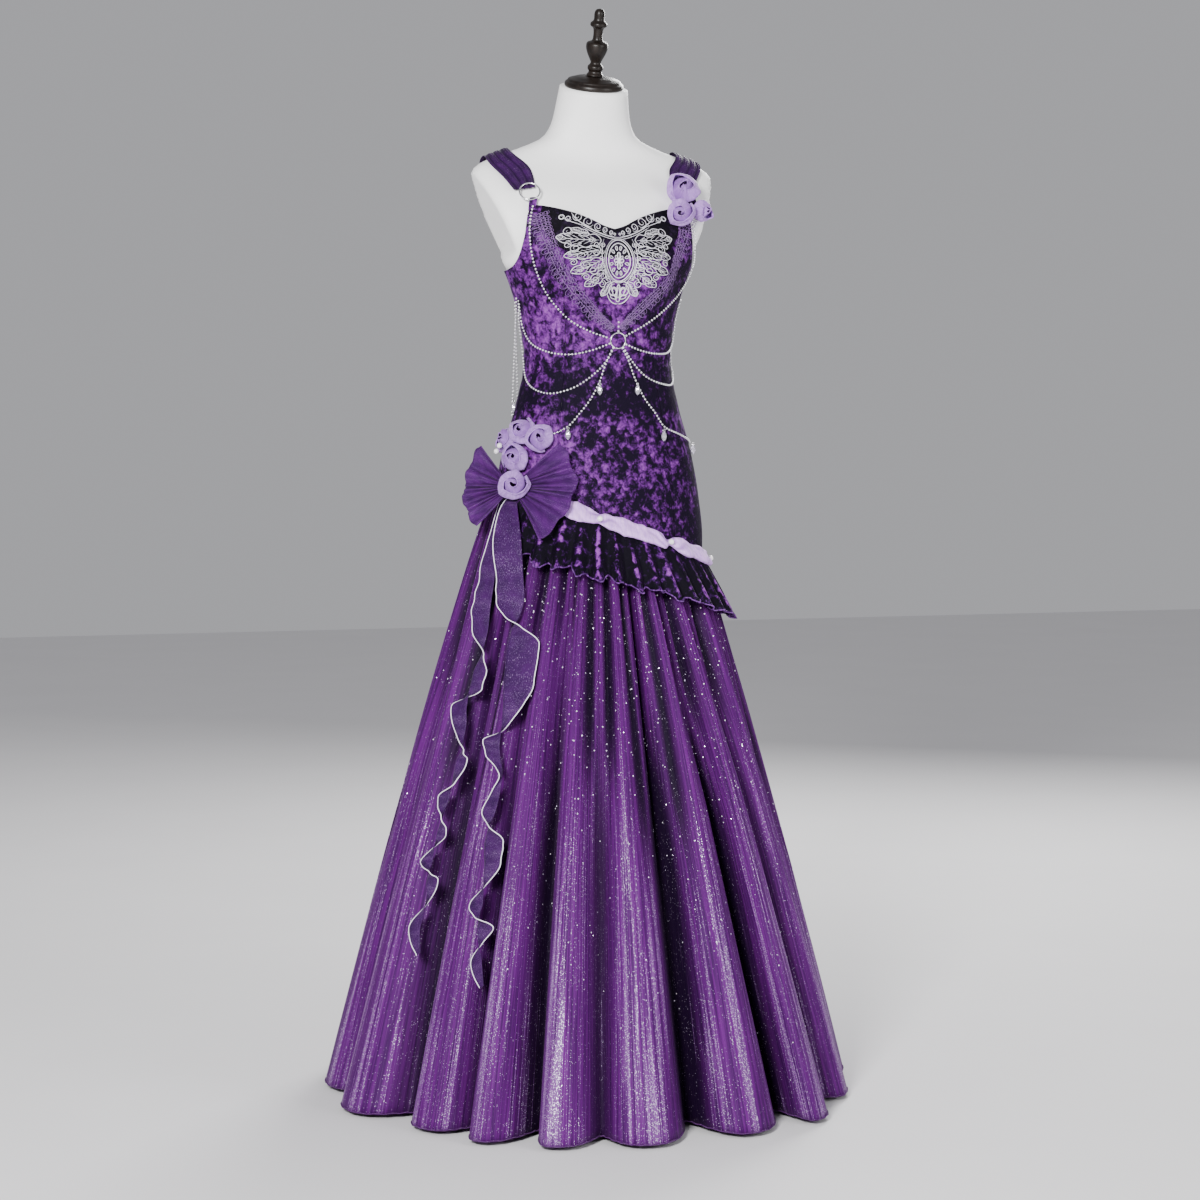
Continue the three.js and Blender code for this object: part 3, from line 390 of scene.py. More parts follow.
# A material with its nodes
class Stuff:
    # Constants are the shader's own values, with _ for each space of a socket's name.
    def __init__(self, slot, name=None, **constants):
        self.slot = slot
        self.material = bpy.data.materials.new(name or slot)
        self.material.use_nodes = True
        self.tree = self.material.node_tree
        self.shader = self.tree.nodes["Principled BSDF"]
        for key, value in constants.items():
            self.shader.inputs[key.replace("_", " ")].default_value = value

    # Any node, from its type, its settings, and the values or signals of its inputs
    def node(self, kind, settings=None, inputs=None, output=0, carries="value"):
        made = self.tree.nodes.new(kind)
        for key, value in (settings or {}).items():
            setattr(made, key, value)
        for key, value in (inputs or {}).items():
            if isinstance(value, Signal):
                self.tree.links.new(value.socket, made.inputs[key])
            else:
                slots = made.inputs[key]
                wide = slots.type == "RGBA" and len(value) == 3
                slots.default_value = (*value, 1) if wide else value
        return Signal(self, made.outputs[output], carries)

    def place(self, stretch=(1, 1, 1), source="Object"):
        spot = self.node("ShaderNodeTexCoord", output=source, carries="vector")
        return spot if stretch == (1, 1, 1) else spot * stretch

    def noise(self, spot, scale, detail, roughness=0.55, distortion=0):
        return self.node(
            "ShaderNodeTexNoise",
            {},
            {
                "Vector": spot, "Scale": scale, "Detail": detail,
                "Roughness": roughness, "Distortion": distortion,
            },
            "Fac",
        )

    def cells(self, spot, scale, output="Distance"):
        kind = "colour" if output == "Color" else "value"
        return self.node("ShaderNodeTexVoronoi", {}, {"Vector": spot, "Scale": scale}, output, kind)

    # A value that the mesh carries at its points
    def carried(self, name):
        return self.node("ShaderNodeAttribute", {"attribute_name": name}, None, "Fac")

    def part(self, colour, name):
        return self.node("ShaderNodeSeparateColor", {}, {0: colour}, name)

    def axis(self, spot, name):
        return self.node("ShaderNodeSeparateXYZ", {}, {0: spot}, name)

    def drive(self, **signals):
        for key, signal in signals.items():
            self.tree.links.new(signal.socket, self.shader.inputs[key.replace("_", " ")])

    # A bump of a depth in metres, over another one if below is given
    def relief(self, height, depth, strength, below=None):
        inputs = {"Height": height, "Distance": depth, "Strength": strength}
        if below:
            inputs["Normal"] = below
        return self.node("ShaderNodeBump", {}, inputs, 0, "vector")


# Crushed velvet. With a waist value it gets painted shade: a band at the waist, the wearer's left side darker
# and the lower part darker. Crest highlights are painted on the flounce's crests.
def velvetStuff(slot, name, dark, middle, bright, bias, waistShade=0.0, crestHighlight=False):
    stuff = Stuff(slot, name, Sheen_Weight=0.05, Sheen_Roughness=0.3, Specular_IOR_Level=0.12)
    stuff.shader.inputs["Sheen Tint"].default_value = (0.62, 0.25, 0.9, 1)
    spot = stuff.place()
    broad = stuff.noise(spot, 8, 2, 0.5)
    patches = stuff.noise(spot * (1, 1, 0.9), 76, 6, 0.68, 0.4)
    cracks = stuff.cells(spot + patches * 0.012, 105)
    fine = stuff.noise(spot, 300, 4, 0.7, 0.3)
    level = patches + (broad - 0.5) * 0.5 + (fine - 0.5) * 0.44 + (0.42 - cracks) * 0.2 + bias
    # painted shade on the wearer's left side, away from the key light, and in a band at the waist; the velvet
    # is also darker towards the bottom
    if waistShade:
        level = level - stuff.axis(spot, "X").between(0.0, 0.16) * 0.065
        height = stuff.axis(spot, "Z")
        level = level - (1 - height.between(0.96, 1.08)) * 0.055
        level = level - height.between(1.06, 1.11) * (1 - height.between(1.09, 1.225)) * waistShade
    # painted highlights along the flounce's crests
    if crestHighlight:
        level = level + stuff.carried("crest") * (patches * 1.5 - 0.5)
    crushed = level.between(0.40, 0.60)
    lit = level.between(0.50, 0.80)
    nap = stuff.noise(spot * (1, 1, 0.4), 1100, 3, 0.6)
    base = crushed.blend(dark, middle)
    colour = (nap * 0.55).blend(lit.blend(base, bright), base)
    stuff.drive(Base_Color=colour, Roughness=crushed * -0.25 + 0.75)
    pressed = stuff.relief(level, 0.0018, 0.85)
    stuff.drive(Normal=stuff.relief(nap, 0.0004, 0.5, pressed))
    return stuff


velvet = velvetStuff(
    "velvet", "velvet", (0.003, 0.0003, 0.008), (0.075, 0.007, 0.13), (0.33, 0.08, 0.45), 0.067, 0.165
)
flounceVelvet = velvetStuff(
    "velvet", "flounce_velvet", (0.0015, 0.0003, 0.004), (0.045, 0.004, 0.09), (0.33, 0.07, 0.46), -0.12,
    crestHighlight=True,
)
blackVelvet = velvetStuff(
    "black_velvet", "black_velvet", (0.0015, 0.0008, 0.003), (0.006, 0.002, 0.012), (0.03, 0.012, 0.05), -0.02
)


# The skirt's organza, with painted shade in the valleys of the folds, and glitter in lanes that thicken
# towards the hem, its lighter haze partly a painted sheen
def organza():
    stuff = Stuff("glitter_organza", Sheen_Weight=0.05, Sheen_Roughness=0.4, Specular_IOR_Level=0.12)
    stuff.shader.inputs["Sheen Tint"].default_value = (0.7, 0.3, 0.9, 1)
    uv = stuff.place(source="UV")
    hollow = stuff.carried("hollow")
    low = stuff.axis(uv, "Y").between(0.1, 0.7)
    lines = stuff.noise(uv * (420, 3.4, 1), 1, 3, 0.6, 0.2)
    lanes = stuff.noise(uv * (70, 1.7, 1), 1, 3, 0.55)
    crinkle = stuff.noise(uv * (230, 4, 1), 1, 3, 0.55, 0.3)
    grainPlace, grainScale = uv * (1, 0.8, 1), 820
    grains = stuff.cells(grainPlace, grainScale)
    chance = stuff.part(stuff.cells(grainPlace, grainScale, "Color"), "Red")
    # glitter thins out in the valleys, part of the painted shade there
    amount = (lines * 0.9 + lanes * 1.2 + low * 0.2 - hollow * 0.3).between(1.16, 1.5)
    glitter = (1 - grains.between(0.25, 0.5)) * (chance + amount * 0.55).between(0.93, 1.08)
    # haze: the lurex lanes' lighter colour, partly a painted sheen, stronger towards the hem
    haze = amount * (low * 0.34 + 0.12)
    deep = crinkle.between(0.3, 0.7).blend((0.032, 0.001, 0.056), (0.094, 0.005, 0.138))
    # painted shade in the valleys of the folds
    tone = hollow.between(0.15, 0.8).blend(deep, (0.005, 0.0002, 0.011))
    tone = haze.blend(tone, (0.30, 0.12, 0.40))
    tone = glitter.blend(tone, (0.84, 0.70, 0.96))
    stuff.drive(Base_Color=tone, Roughness=0.62 - haze * 0.2 - glitter * 0.35, Metallic=glitter * 0.55)
    folds = stuff.relief(crinkle, 0.0018, 0.8)
    stuff.drive(Normal=stuff.relief(grains, 0.0004, 0.5, folds))
    return stuff


def pleated(name, dark, light, lines=260, shine=0.45):
    stuff = Stuff("pleated_organza", name, Sheen_Weight=0.06, Sheen_Roughness=0.4, Specular_IOR_Level=0.15)
    uv = stuff.place(source="UV")
    hollow = stuff.carried("hollow")
    weave = stuff.noise(uv * (1, 2.6, 1), 900, 2, 0.6)
    patch = stuff.noise(uv, 40, 3, 0.55)
    lanes = stuff.noise(uv * (lines, 12, 1), 1, 3, 0.6)
    dashes = stuff.noise(uv * (520, 1300, 1), 1, 2, 0.5)
    # glints thin out in the grooves, part of the painted shade there
    glitter = (dashes + lanes * 0.3 - hollow * 0.2).between(0.72, 0.9) * shine
    tone = (weave * 0.6 + patch * 0.6 - 0.1).between(0.3, 0.75).blend(dark, light)
    # painted shade in the grooves and valleys of the pleats
    tone = (hollow * 0.85).blend(tone, (0.008, 0.0004, 0.018))
    tone = glitter.blend(tone, (0.60, 0.40, 0.74))
    stuff.drive(Base_Color=tone, Roughness=0.6 - glitter * 0.35, Metallic=glitter * 0.5)
    stuff.drive(Normal=stuff.relief(weave, 0.0004, 0.7))
    return stuff


def lilac(name, dark, light):
    stuff = Stuff("lilac_organza", name, Sheen_Weight=0.15, Sheen_Roughness=0.45, Specular_IOR_Level=0.2)
    uv = stuff.place(source="UV")
    hollow = stuff.carried("hollow")
    threads = stuff.noise(uv * (1, 5, 1), 700, 2, 0.6)
    crepe = stuff.noise(uv * (4, 1, 1), 90, 4, 0.6, 0.4)
    tone = (threads * 0.5 + crepe * 0.7).between(0.35, 0.85).blend(dark, light)
    # painted shade in the band's creases and deep inside the roses
    tone = (hollow * 0.8).blend(tone, (0.20, 0.07, 0.34))
    stuff.drive(Base_Color=tone, Roughness=threads * 0.2 + 0.5)
    folds = stuff.relief(crepe, 0.0012, 0.7)
    stuff.drive(Normal=stuff.relief(threads, 0.0002, 0.5, folds))
    return stuff


# Twisted thread. Pitch is how many twists lie in a millimetre.
def thread(slot, name, dark, light, pitch, metal, rough):
    stuff = Stuff(slot, name, Metallic=metal, Roughness=rough)
    uv = stuff.place(source="UV")
    turns = stuff.noise(uv * (pitch, pitch * 0.25, 1), 1, 2, 0.5)
    tone = turns.between(0.32, 0.66).blend(dark, light)
    stuff.drive(Base_Color=tone, Roughness=turns * 0.3 + rough - 0.1)
    stuff.drive(Normal=stuff.relief(turns, 0.0002, 0.7))
    return stuff


def coverStuff():
    stuff = Stuff("form_cover", Roughness=0.6)
    spot = stuff.place()
    knit = stuff.noise(spot * (1, 1, 1.6), 1500, 2, 0.5)
    marks = stuff.noise(spot, 9, 3, 0.5)
    tone = marks.between(0.3, 0.8).blend((0.92, 0.915, 0.91), (0.97, 0.965, 0.96))
    stuff.drive(Base_Color=tone, Roughness=marks * 0.15 + 0.5)
    stuff.drive(Normal=stuff.relief(knit, 0.00012, 0.35))
    return stuff


def woodStuff():
    stuff = Stuff("dark_wood", Coat_Weight=0.05, Coat_Roughness=0.3, Specular_IOR_Level=0.25)
    spot = stuff.place()
    grain = stuff.noise(spot * (1, 1, 0.22), 260, 5, 0.6, 0.9)
    rings = stuff.noise(spot * (1, 1, 0.5), 45, 2, 0.5, 0.5)
    streaks = (grain * 0.7 + rings * 0.4).between(0.35, 0.75)
    tone = streaks.blend((0.003, 0.002, 0.0016), (0.014, 0.009, 0.007))
    stuff.drive(Base_Color=tone, Roughness=grain * 0.25 + 0.25)
    stuff.drive(Normal=stuff.relief(grain, 0.0003, 0.5))
    return stuff


def metalStuff(slot, tone, rough, name=None):
    stuff = Stuff(slot, name, Metallic=1.0)
    haze = stuff.noise(stuff.place(), 350, 3, 0.6)
    worn = tuple(part * 0.82 for part in tone)
    stuff.drive(Base_Color=haze.blend(tone, worn), Roughness=haze * 0.2 + rough)
    return stuff


def pearlStuff():
    stuff = Stuff("pearl", Roughness=0.22, Coat_Weight=0.6, Coat_Roughness=0.1, Sheen_Weight=0.2)
    bands = stuff.noise(stuff.place(), 120, 3, 0.5, 1.0)
    tone = bands.between(0.3, 0.7).blend((0.90, 0.84, 0.86), (0.93, 0.92, 0.96))
    stuff.drive(Base_Color=tone, Roughness=bands * 0.12 + 0.18)
    return stuff


def glassStuff():
    stuff = Stuff("crystal", IOR=1.56, Transmission_Weight=0.72, Coat_Weight=0.8, Coat_Roughness=0.02)
    clouds = stuff.noise(stuff.place(), 90, 2, 0.5)
    stuff.drive(Base_Color=clouds.blend((0.97, 0.95, 1.0), (0.80, 0.74, 0.94)), Roughness=clouds * 0.06)
    return stuff


skirtStuff = organza()
streamerStuff = pleated("streamer_organza", (0.016, 0.001, 0.036), (0.05, 0.004, 0.085), 60)
pleatStuff = pleated("pleated_organza", (0.026, 0.002, 0.054), (0.09, 0.009, 0.15))
strapStuff = pleated("strap_organza", (0.010, 0.0008, 0.022), (0.046, 0.004, 0.082), shine=0.2)
lilacStuff = lilac("lilac_organza", (0.25, 0.11, 0.42), (0.50, 0.28, 0.69))
bandStuff = lilac("lilac_band", (0.48, 0.22, 0.76), (0.86, 0.52, 0.99))
silverThread = thread(
    "silver_thread", "silver_thread", (0.42, 0.40, 0.46), (0.90, 0.89, 0.94), 1.6, 0.25, 0.36
)
laceThread = thread("lace_thread", "lace_thread", (0.07, 0.026, 0.12), (0.27, 0.14, 0.36), 1.2, 0.0, 0.6)
edgeThread = thread("lilac_organza", "edge_thread", (0.78, 0.72, 0.88), (0.97, 0.94, 1.0), 1.4, 0.0, 0.5)
purpleThread = thread("velvet", "hem_thread", (0.045, 0.006, 0.09), (0.16, 0.04, 0.26), 0.3, 0.0, 0.6)
formStuff = coverStuff()
wood = woodStuff()
steel = metalStuff("steel", (0.52, 0.52, 0.54), 0.22)
silver = metalStuff("silver", (0.86, 0.85, 0.88), 0.12)
chainSilver = metalStuff("silver", (0.96, 0.95, 0.98), 0.28, "chain_silver")
pearl = pearlStuff()
crystalGlass = glassStuff()
print("materials made")


# A piece gets its material, rides on the body, and takes the place of its CAD nodes.
def fit(made, stuff, nodes=()):
    made.data.materials.append(stuff.material)
    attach(made, "root")
    if nodes:
        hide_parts(*nodes)
    return made


# A thin tube along an edge of cloth
def edging(name, path, radius, stuff, sides=6):
    batch = Batch()
    batch.tube(path, outwardOf(path), radius, sides=sides)
    fit(batch.make(name), stuff)


def pearlAt(name, radius, segments, rings, middle, nodes=()):
    points, faces = ball(radius, segments, rings)
    fit(addMesh(name, points + middle, faces), pearl, nodes)


# Dress form


# Under the bodice the form is 2.6 mm slimmer, so that it never shows through.
def coveredForm(a, b):
    angle, height = a * 360, mix(formBottom, formTop, b)
    edge = np.where((angle < 70) | (angle > 290), 1390, 1306)
    covered = 1 - ramp(edge, edge + 40, height)
    return formSurface(angle, height) + polar(angle, -2.6 * covered, 0)


around, ringCount = 144, 111
shareRound, shareUp = shares(around, ringCount - 1)
formFaces = gridFaces(ringCount - 1, around, flip=True, wrap=True).tolist() + endFaces(ringCount, around)
fit(addMesh("form", coveredForm(shareRound[:-1].T, shareUp.T), formFaces), formStuff, ["form_body"])

capRows = [(0, 0), (46, 0), (47.5, 3), (46.5, 8), (43, 10), (42, 13), (35, 15), (28, 17.5), (17, 19), (0, 19)]
finialRows = [
    (0, 19.4), (15, 19.4), (11, 24), (10, 27), (12.5, 30), (12.5, 35), (9, 38), (8, 41), (10.5, 46),
    (15, 55), (17.5, 63), (17.5, 70), (15, 73), (8, 75), (7.2, 85), (8, 95), (13.5, 98), (13.5, 103),
    (8, 107), (8.6, 118), (6, 124), (0, 125.5),
]


# The cap and the finial lean with the neck.
def onNeck(points):
    cosine, sine = math.cos(neckTilt), math.sin(neckTilt)
    x, y, z = points[..., 0], points[..., 1], points[..., 2]
    centreY = formAt["centreY"](formTop)
    return np.stack([x, centreY + cosine * y - sine * z, formTop + 0.3 + sine * y + cosine * z], -1)


fit(turnedMesh("neck_plate", capRows, place=onNeck), wood, ["neck_cap"])
fit(turnedMesh("turned_finial", finialRows, place=onNeck), wood, ["finial"])
poleRows = [(0, 16.3), (14, 16.3), (14, 699.7), (0, 699.7)]
baseRows = [(0, 0), (165, 0), (165, 9), (158, 16), (0, 16)]
fit(turnedMesh("pole", poleRows, 48, 0), steel, ["stand_pole"])
fit(turnedMesh("round_base", baseRows, 128, 1), wood, ["stand_base"])
print("form made")

# Bodice

topEdge = curveThrough([0, 10, 22, 35, 47, 61], [1366, 1371, 1381, 1390, 1397, 1404])
backEdge = curveThrough([88, 120, 180], [1306, 1304, 1296])
princess = curveThrough([0, 0.35, 0.62, 0.8, 1], [44, 47, 45, 39, 47])
armhole = curves(
    [
        (0, 47, 1397), (0.3, 60, 1403), (0.36, 62.3, 1398), (0.52, 64, 1362),
        (0.72, 71, 1326), (0.86, 79, 1311), (1, 88, 1306),
    ],
    ["angle", "height"],
)
# Each panel runs between two seams, angles by the share of its height, up to its top edge.
bodicePanels = [
    {
        "name": "velvet_centre_front", "node": "bodice_centre_front",
        "from": lambda s: -princess(s), "to": princess,
        "top": lambda a: (mix(-47, 47, a), topEdge(abs(mix(-47, 47, a)))),
        "cloth": {"flat": (0.235, 0.52), "held": "stretched", "area": 0.087, "rests_on": ["form_body"]},
    },
    {
        "name": "velvet_side_front_left", "node": "bodice_side_front_left",
        "from": princess, "to": lambda s: 88,
        "top": lambda a: (armhole["angle"](a), armhole["height"](a)),
        "cloth": {"flat": (0.14, 0.55), "held": "stretched", "area": 0.056, "rests_on": ["form_body"]},
    },
    {
        "name": "velvet_side_front_right", "node": "bodice_side_front_right",
        "from": lambda s: -88, "to": lambda s: -princess(s),
        "top": lambda a: (-armhole["angle"](1 - a), armhole["height"](1 - a)),
        "cloth": {"flat": (0.13, 0.50), "held": "stretched", "area": 0.043, "rests_on": ["form_body"]},
    },
    {
        "name": "velvet_back_left", "node": "bodice_back_left",
        "from": lambda s: 88, "to": lambda s: 180,
        "top": lambda a: (mix(88, 180, a), backEdge(mix(88, 180, a))),
        "cloth": {"flat": (0.24, 0.48), "held": "stretched", "area": 0.091, "rests_on": ["form_body"]},
    },
    {
        "name": "velvet_back_right", "node": "bodice_back_right",
        "from": lambda s: 180, "to": lambda s: 272,
        "top": lambda a: (mix(180, 272, a), backEdge(360 - mix(180, 272, a))),
        "cloth": {"flat": (0.22, 0.42), "held": "stretched", "area": 0.072, "rests_on": ["form_body"]},
    },
]


# Where a panel's cloth lies, as an angle and a height
def panelPlace(panel, across, share):
    seamGap = 0.1
    start, end = panel["from"](share) + seamGap, panel["to"](share) - seamGap
    topAngle, topHeight = panel["top"](across)
    topStart, topEnd = panel["top"](0.0)[0] + seamGap, panel["top"](1.0)[0] - seamGap
    drift = np.where((across == 0) | (across == 1), 0, topAngle - mix(topStart, topEnd, across))
    angle = mix(start, end, across) + drift * share**3
    low = seamHeight(mix(panel["from"](0.0), panel["to"](0.0), across))
    return angle, mix(low, topHeight, share)


# The cloth dips into its seams, and creases a little at the waist and above the centre ring.
for panel in bodicePanels:
    def surface(across, share):
        angle, height = panelPlace(panel, across, share)
        edge = np.minimum(across, 1 - across) * 110
        dip = 1.1 * bump(edge, 0, 1.6) - 0.35 * bump(edge, 3.4, 1.8)
        sides = abs(np.sin(np.radians(angle * 1.1 + 20)))
        crease = 0.9 * bump(height, 1168, 42) * np.sin(height * 0.26 + 1.7 * np.sin(angle * 0.07)) * sides
        near = bump((angle + 180) % 360 - 180, 2, 9) * bump(height, 1238, 13)
        gather = near * np.sin(height * 0.75 + angle * 0.03)
        return onForm(angle, height, bodiceOuter - dip + crease + gather - 0.2)

    rim = np.array([0, 0.006, 0.013, 0.021, 0.03, 0.04])
    across = np.concatenate([rim, np.linspace(0.055, 0.945, 32), 1 - rim[::-1]])
    made = clothGrid(panel["name"], surface, across, 110, (0.22, 0.47), wall=1.4)
    fit(made, velvet, [panel["node"]])

# the zip's pull, below the top edge of the centre back
pull = Batch()
pull.tube(onForm(180, np.linspace(1291, 1286, 5), 4.4), [0, 1, 0], 1.5, sides=10)
drop = np.linspace(1286.5, 1273, 12)
pull.tube(onForm(180, drop, 4.9), [0, 1, 0], 0.8 + 1.1 * ramp(1284, 1276, drop), 0.45, 10)
fit(pull.make("zip_pull"), silver)
print("bodice made")

# Skirt

folds = np.array(
    [
        # angle, reach, valley, lean, gathers, how far the gathers run
        (-100, 441, 52, 0, 2, 0.5), (-74, 458, 74, 0, 3, 0.65), (-52, 446, 66, 1, 1, 0.4),
        (-39, 468, 92, 2, 2, 0.35), (-25, 470, 62, 0, 2, 0.6), (-7, 462, 112, 2, 3, 0.7),
        (15, 452, 104, 8, 2, 0.5), (31, 457, 78, 3, 2, 0.45), (54, 418, 46, 0, 3, 0.6),
        (80, 406, 60, -2, 2, 0.4), (97, 412, 70, 0, 2, 0.55), (116, 425, 52, 2, 1, 0.5),
        (137, 432, 84, -3, 2, 0.6), (154, 440, 58, 0, 1, 0.35), (173, 445, 76, 3, 3, 0.6),
        (195, 442, 88, 0, 1, 0.5), (211, 446, 60, -2, 1, 0.4), (231, 438, 72, 0, 2, 0.55),
        (246, 440, 48, 0, 1, 0.4),
    ]
)
hemReach = curveThrough(
    np.concatenate([folds[:, 0] - 360, folds[:, 0], folds[:, 0] + 360]), np.tile(folds[:, 1], 3)
)


# Distance of the folds' crests from the axis, by the share of the way down the skirt
def crestRadius(angle, share):
    top = formRadius(angle, seamHeight(angle)) + bodiceOuter
    return mix(top, hemReach(angle), np.maximum(share, 0) ** 0.88)


def shareDown(angle, height):
    top = seamHeight(angle)
    return (top - height) / (top - hemHeight)


# The skirt's outside. Place counts crests round the hem, so 2.5 is the valley after crest 2.
def skirtSurface(place, share):
    index = np.floor(place).astype(int)
    part = place - index
    turns, crest = np.divmod(index, len(folds))
    nextTurns, following = np.divmod(index + 1, len(folds))
    angle, _, valley, lean, gathers, gathersTo = np.moveaxis(folds[crest], -1, 0)
    angle = angle + 360 * turns
    span = folds[following, 0] + 360 * nextTurns - angle
    grown = np.maximum(share, 0) ** 0.78
    pinch = 0.5 * grown * np.sin(2 * np.pi * part) / (2 * np.pi)
    hollow = np.sin(np.pi * part) ** 2
    angle = angle + span * (part + pinch) + lean * hollow * grown
    gathered = ramp(0, 0.07, share) * (1 - ramp(gathersTo - 0.3, gathersTo, share))
    waves = (1 - np.cos(2 * np.pi * gathers * part)) / 2
    radius = crestRadius(angle, share) - valley * grown * hollow**1.25 - 15 * gathered * waves**1.3
    # finer creases that fade out towards the hem
    fade = ramp(0.01, 0.06, share) * (1 - ramp(0.25, 0.95, share)) + 0.12
    radius -= fade * (1.5 + 1.5 * np.sin(place * 29.7 + 2 * np.sin(share * 5 + place)))
    radius -= fade * 0.8 * (1 + np.sin(place * 61.3 + 3 * share))
    height = mix(seamHeight(angle) - 0.5, hemHeight, share)
    return polar(angle, radius, height)


# How much painted shade a place gets from how deep it lies in its fold, from 0 on a crest to 1 at the bottom
# of a valley
def foldShadeOf(place, share):
    crest = np.floor(place).astype(int) % len(folds)
    part = place - np.floor(place)
    gathers, gathersTo = folds[crest, 4], folds[crest, 5]
    upper = (1 - np.cos(2 * np.pi * gathers * part)) / 2 * (1 - ramp(gathersTo - 0.3, gathersTo, share))
    lower = np.sin(np.pi * part) ** 2.5 * folds[crest, 2] / 100 * ramp(0.1, 0.6, share)
    return np.clip(np.maximum(upper * 0.8, lower), 0, 1)


skirtPanels = [
    {
        "name": "skirt_organza_front", "node": "skirt_front", "hem": "skirt_hem_front",
        "from": 0.006, "to": 8.994,
        "cloth": {
            "flat": (2.06, 0.99), "held": "gathered", "area": 1.26, "rests_on": ["bodice_centre_front"],
        },
    },
    {
        "name": "skirt_organza_back", "node": "skirt_back", "hem": "skirt_hem_back",
        "from": 9.006, "to": 18.994,
        "cloth": {"flat": (2.2, 0.99), "held": "gathered", "area": 1.21, "rests_on": ["bodice_back_left"]},
    },
]
for panel in skirtPanels:
    def surface(across, share):
        return skirtSurface(mix(panel["from"], panel["to"], across), share)

    down = np.concatenate([np.linspace(0, 0.12, 13), np.linspace(0.135, 1, 52)])
    made = clothGrid(panel["name"], surface, 400, down, (2.1, 0.95), flip=True, wall=1.2)
    # the painted shade of the folds, carried to the material as hollow
    keepValue(made, "hollow", foldShadeOf(np.linspace(panel["from"], panel["to"], 401)[:, None], down[None]))
    fit(made, skirtStuff, [panel["node"]])

for panel in skirtPanels:
    place = np.linspace(panel["from"], panel["to"], 1100)
    path = skirtSurface(place, 1 + 0 * place)
    path[:, 2] += 1.2 + 0.7 * np.sin(place * 71 + 2 * np.sin(place * 9))
    edging(panel["hem"], path, 1.0, skirtStuff)
print("skirt made")

# Velvet flounce

flounceLength = 90
flounces = [
    {
        "name": "velvet_flounce_front", "node": "flounce_front", "from": -66, "to": 86,
        "waves": 15, "phase": 0.2, "narrows": 0,
        "cloth": {"flat": (0.64, 0.095), "held": "gathered", "area": 0.053, "rests_on": ["skirt_front"]},
    },
    {
        "name": "velvet_flounce_back", "node": "flounce_back", "from": 86.3, "to": 259,
        "waves": 16, "phase": 0.65, "narrows": 62,
        "cloth": {"flat": (0.70, 0.095), "held": "gathered", "area": 0.062, "rests_on": ["skirt_back"]},
    },
]


def flounceWave(row, across):
    turn = 2 * np.pi * (row["waves"] * across + row["phase"])
    return turn, np.sin(turn + 0.9 * np.sin(5 * across + row["phase"]))


# The back flounce narrows towards its end behind the fan.
def flounceSurface(row, across, down):
    angle = mix(row["from"], row["to"], across)
    length = flounceLength - row["narrows"] * ramp(218, 254, angle)
    turn, wave = flounceWave(row, across)
    gathers = np.sin(turn * 3.3 + 2 * np.sin(9 * across)) * np.exp(-down * 3.2)
    uneven = 3.4 * np.sin(turn * 0.43 + 1.3) + 2.2 * np.sin(turn * 1.7 + 2 * np.sin(7 * across))
    height = seamHeight(angle) - 1 - down * (length + 3 * wave * down + uneven * down**3)
    out = (9 * down + 8.5 * wave * down**1.1) * length / flounceLength
    radius = crestRadius(angle, shareDown(angle, height)) + 2.4 + out
    lettuce = 3.0 * np.sin(turn * 4.1 + 3 * np.sin(4 * across)) * ramp(0.86, 1, down)
    return polar(angle, radius + 0.8 * (1 + gathers) * ramp(0, 0.08, down) + lettuce, height)


for row in flounces:
    def surface(across, down):
        return flounceSurface(row, across, down)

    made = clothGrid(row["name"], surface, 460, 22, (0.66, 0.09), flip=True, wall=1.2)
    across, down = shares(460, 22)
    wave = flounceWave(row, across)[1]
    # painted highlights on the waves' crests, stronger on some waves than others
    strong = 0.85 + 0.4 * np.sin(across * 61 + 2 * np.sin(down * 4 + across * 17))
    highlitCrest = np.clip(wave + 0.2 * np.sin(down * 7 + across * 90), 0, 1)
    keepValue(made, "crest", highlitCrest**3.5 * strong)
    fit(made, flounceVelvet, [row["node"]])
    across = np.linspace(0, 1, 900)
    path = flounceSurface(row, across, 1 + 0 * across)
    edging(row["name"] + "_hem", path - 0.5 * outwardOf(path), 1.15, purpleThread)
print("flounce made")

# Ruched band over the seam, pinched under its pearls

bands = [
    {
        "name": "ruched_front", "node": "ruched_band_front", "from": -39, "to": 86,
        "pearls": [(-15, 10.5), (35.5, 8.7), (79, 9.6)],
        "cloth": {"flat": (0.36, 0.04), "held": "gathered", "rests_on": ["flounce_front"]},
    },
    {
        "name": "ruched_back", "node": "ruched_band_back", "from": 86.3, "to": 270,
        "pearls": [(128, 9.4), (172, 10.5), (216, 10.9)],
        "cloth": {"flat": (0.48, 0.042), "held": "gathered", "rests_on": ["flounce_back"]},
    },
]


# Distance from the axis that is clear of the bodice and the flounce
def clearOfCloth(angle, height):
    bodice = formRadius(angle, height) + bodiceOuter + 0.9
    below = seamHeight(angle) - height
    down = np.maximum(below, 0) / flounceLength
    flounceRadius = crestRadius(angle, shareDown(angle, height)) + 3.3 + 16.5 * down
    return np.where(below < -3, bodice, np.maximum(bodice, flounceRadius))


# 1 under a pearl of the band, 0 far from all of them
def nearPearls(row, angle, width):
    return sum(bump(angle, pearlAngle, width) for pearlAngle, _ in row["pearls"])


def bandRidges(angle, across):
    return np.sin(across * 13 + 3 * np.sin(angle * 0.23))


def bandFullness(row, angle):
    pinch = nearPearls(row, angle, 4.2)
    ends = 0.35 * (bump(angle, row["from"], 3) + bump(angle, row["to"], 3))
    swell = 0.16 * np.sin(angle * 0.21 + 1.3) ** 2
    return 1 - 0.62 * np.minimum(1, pinch + ends) + 0.06 * np.sin(angle * 0.31) + swell


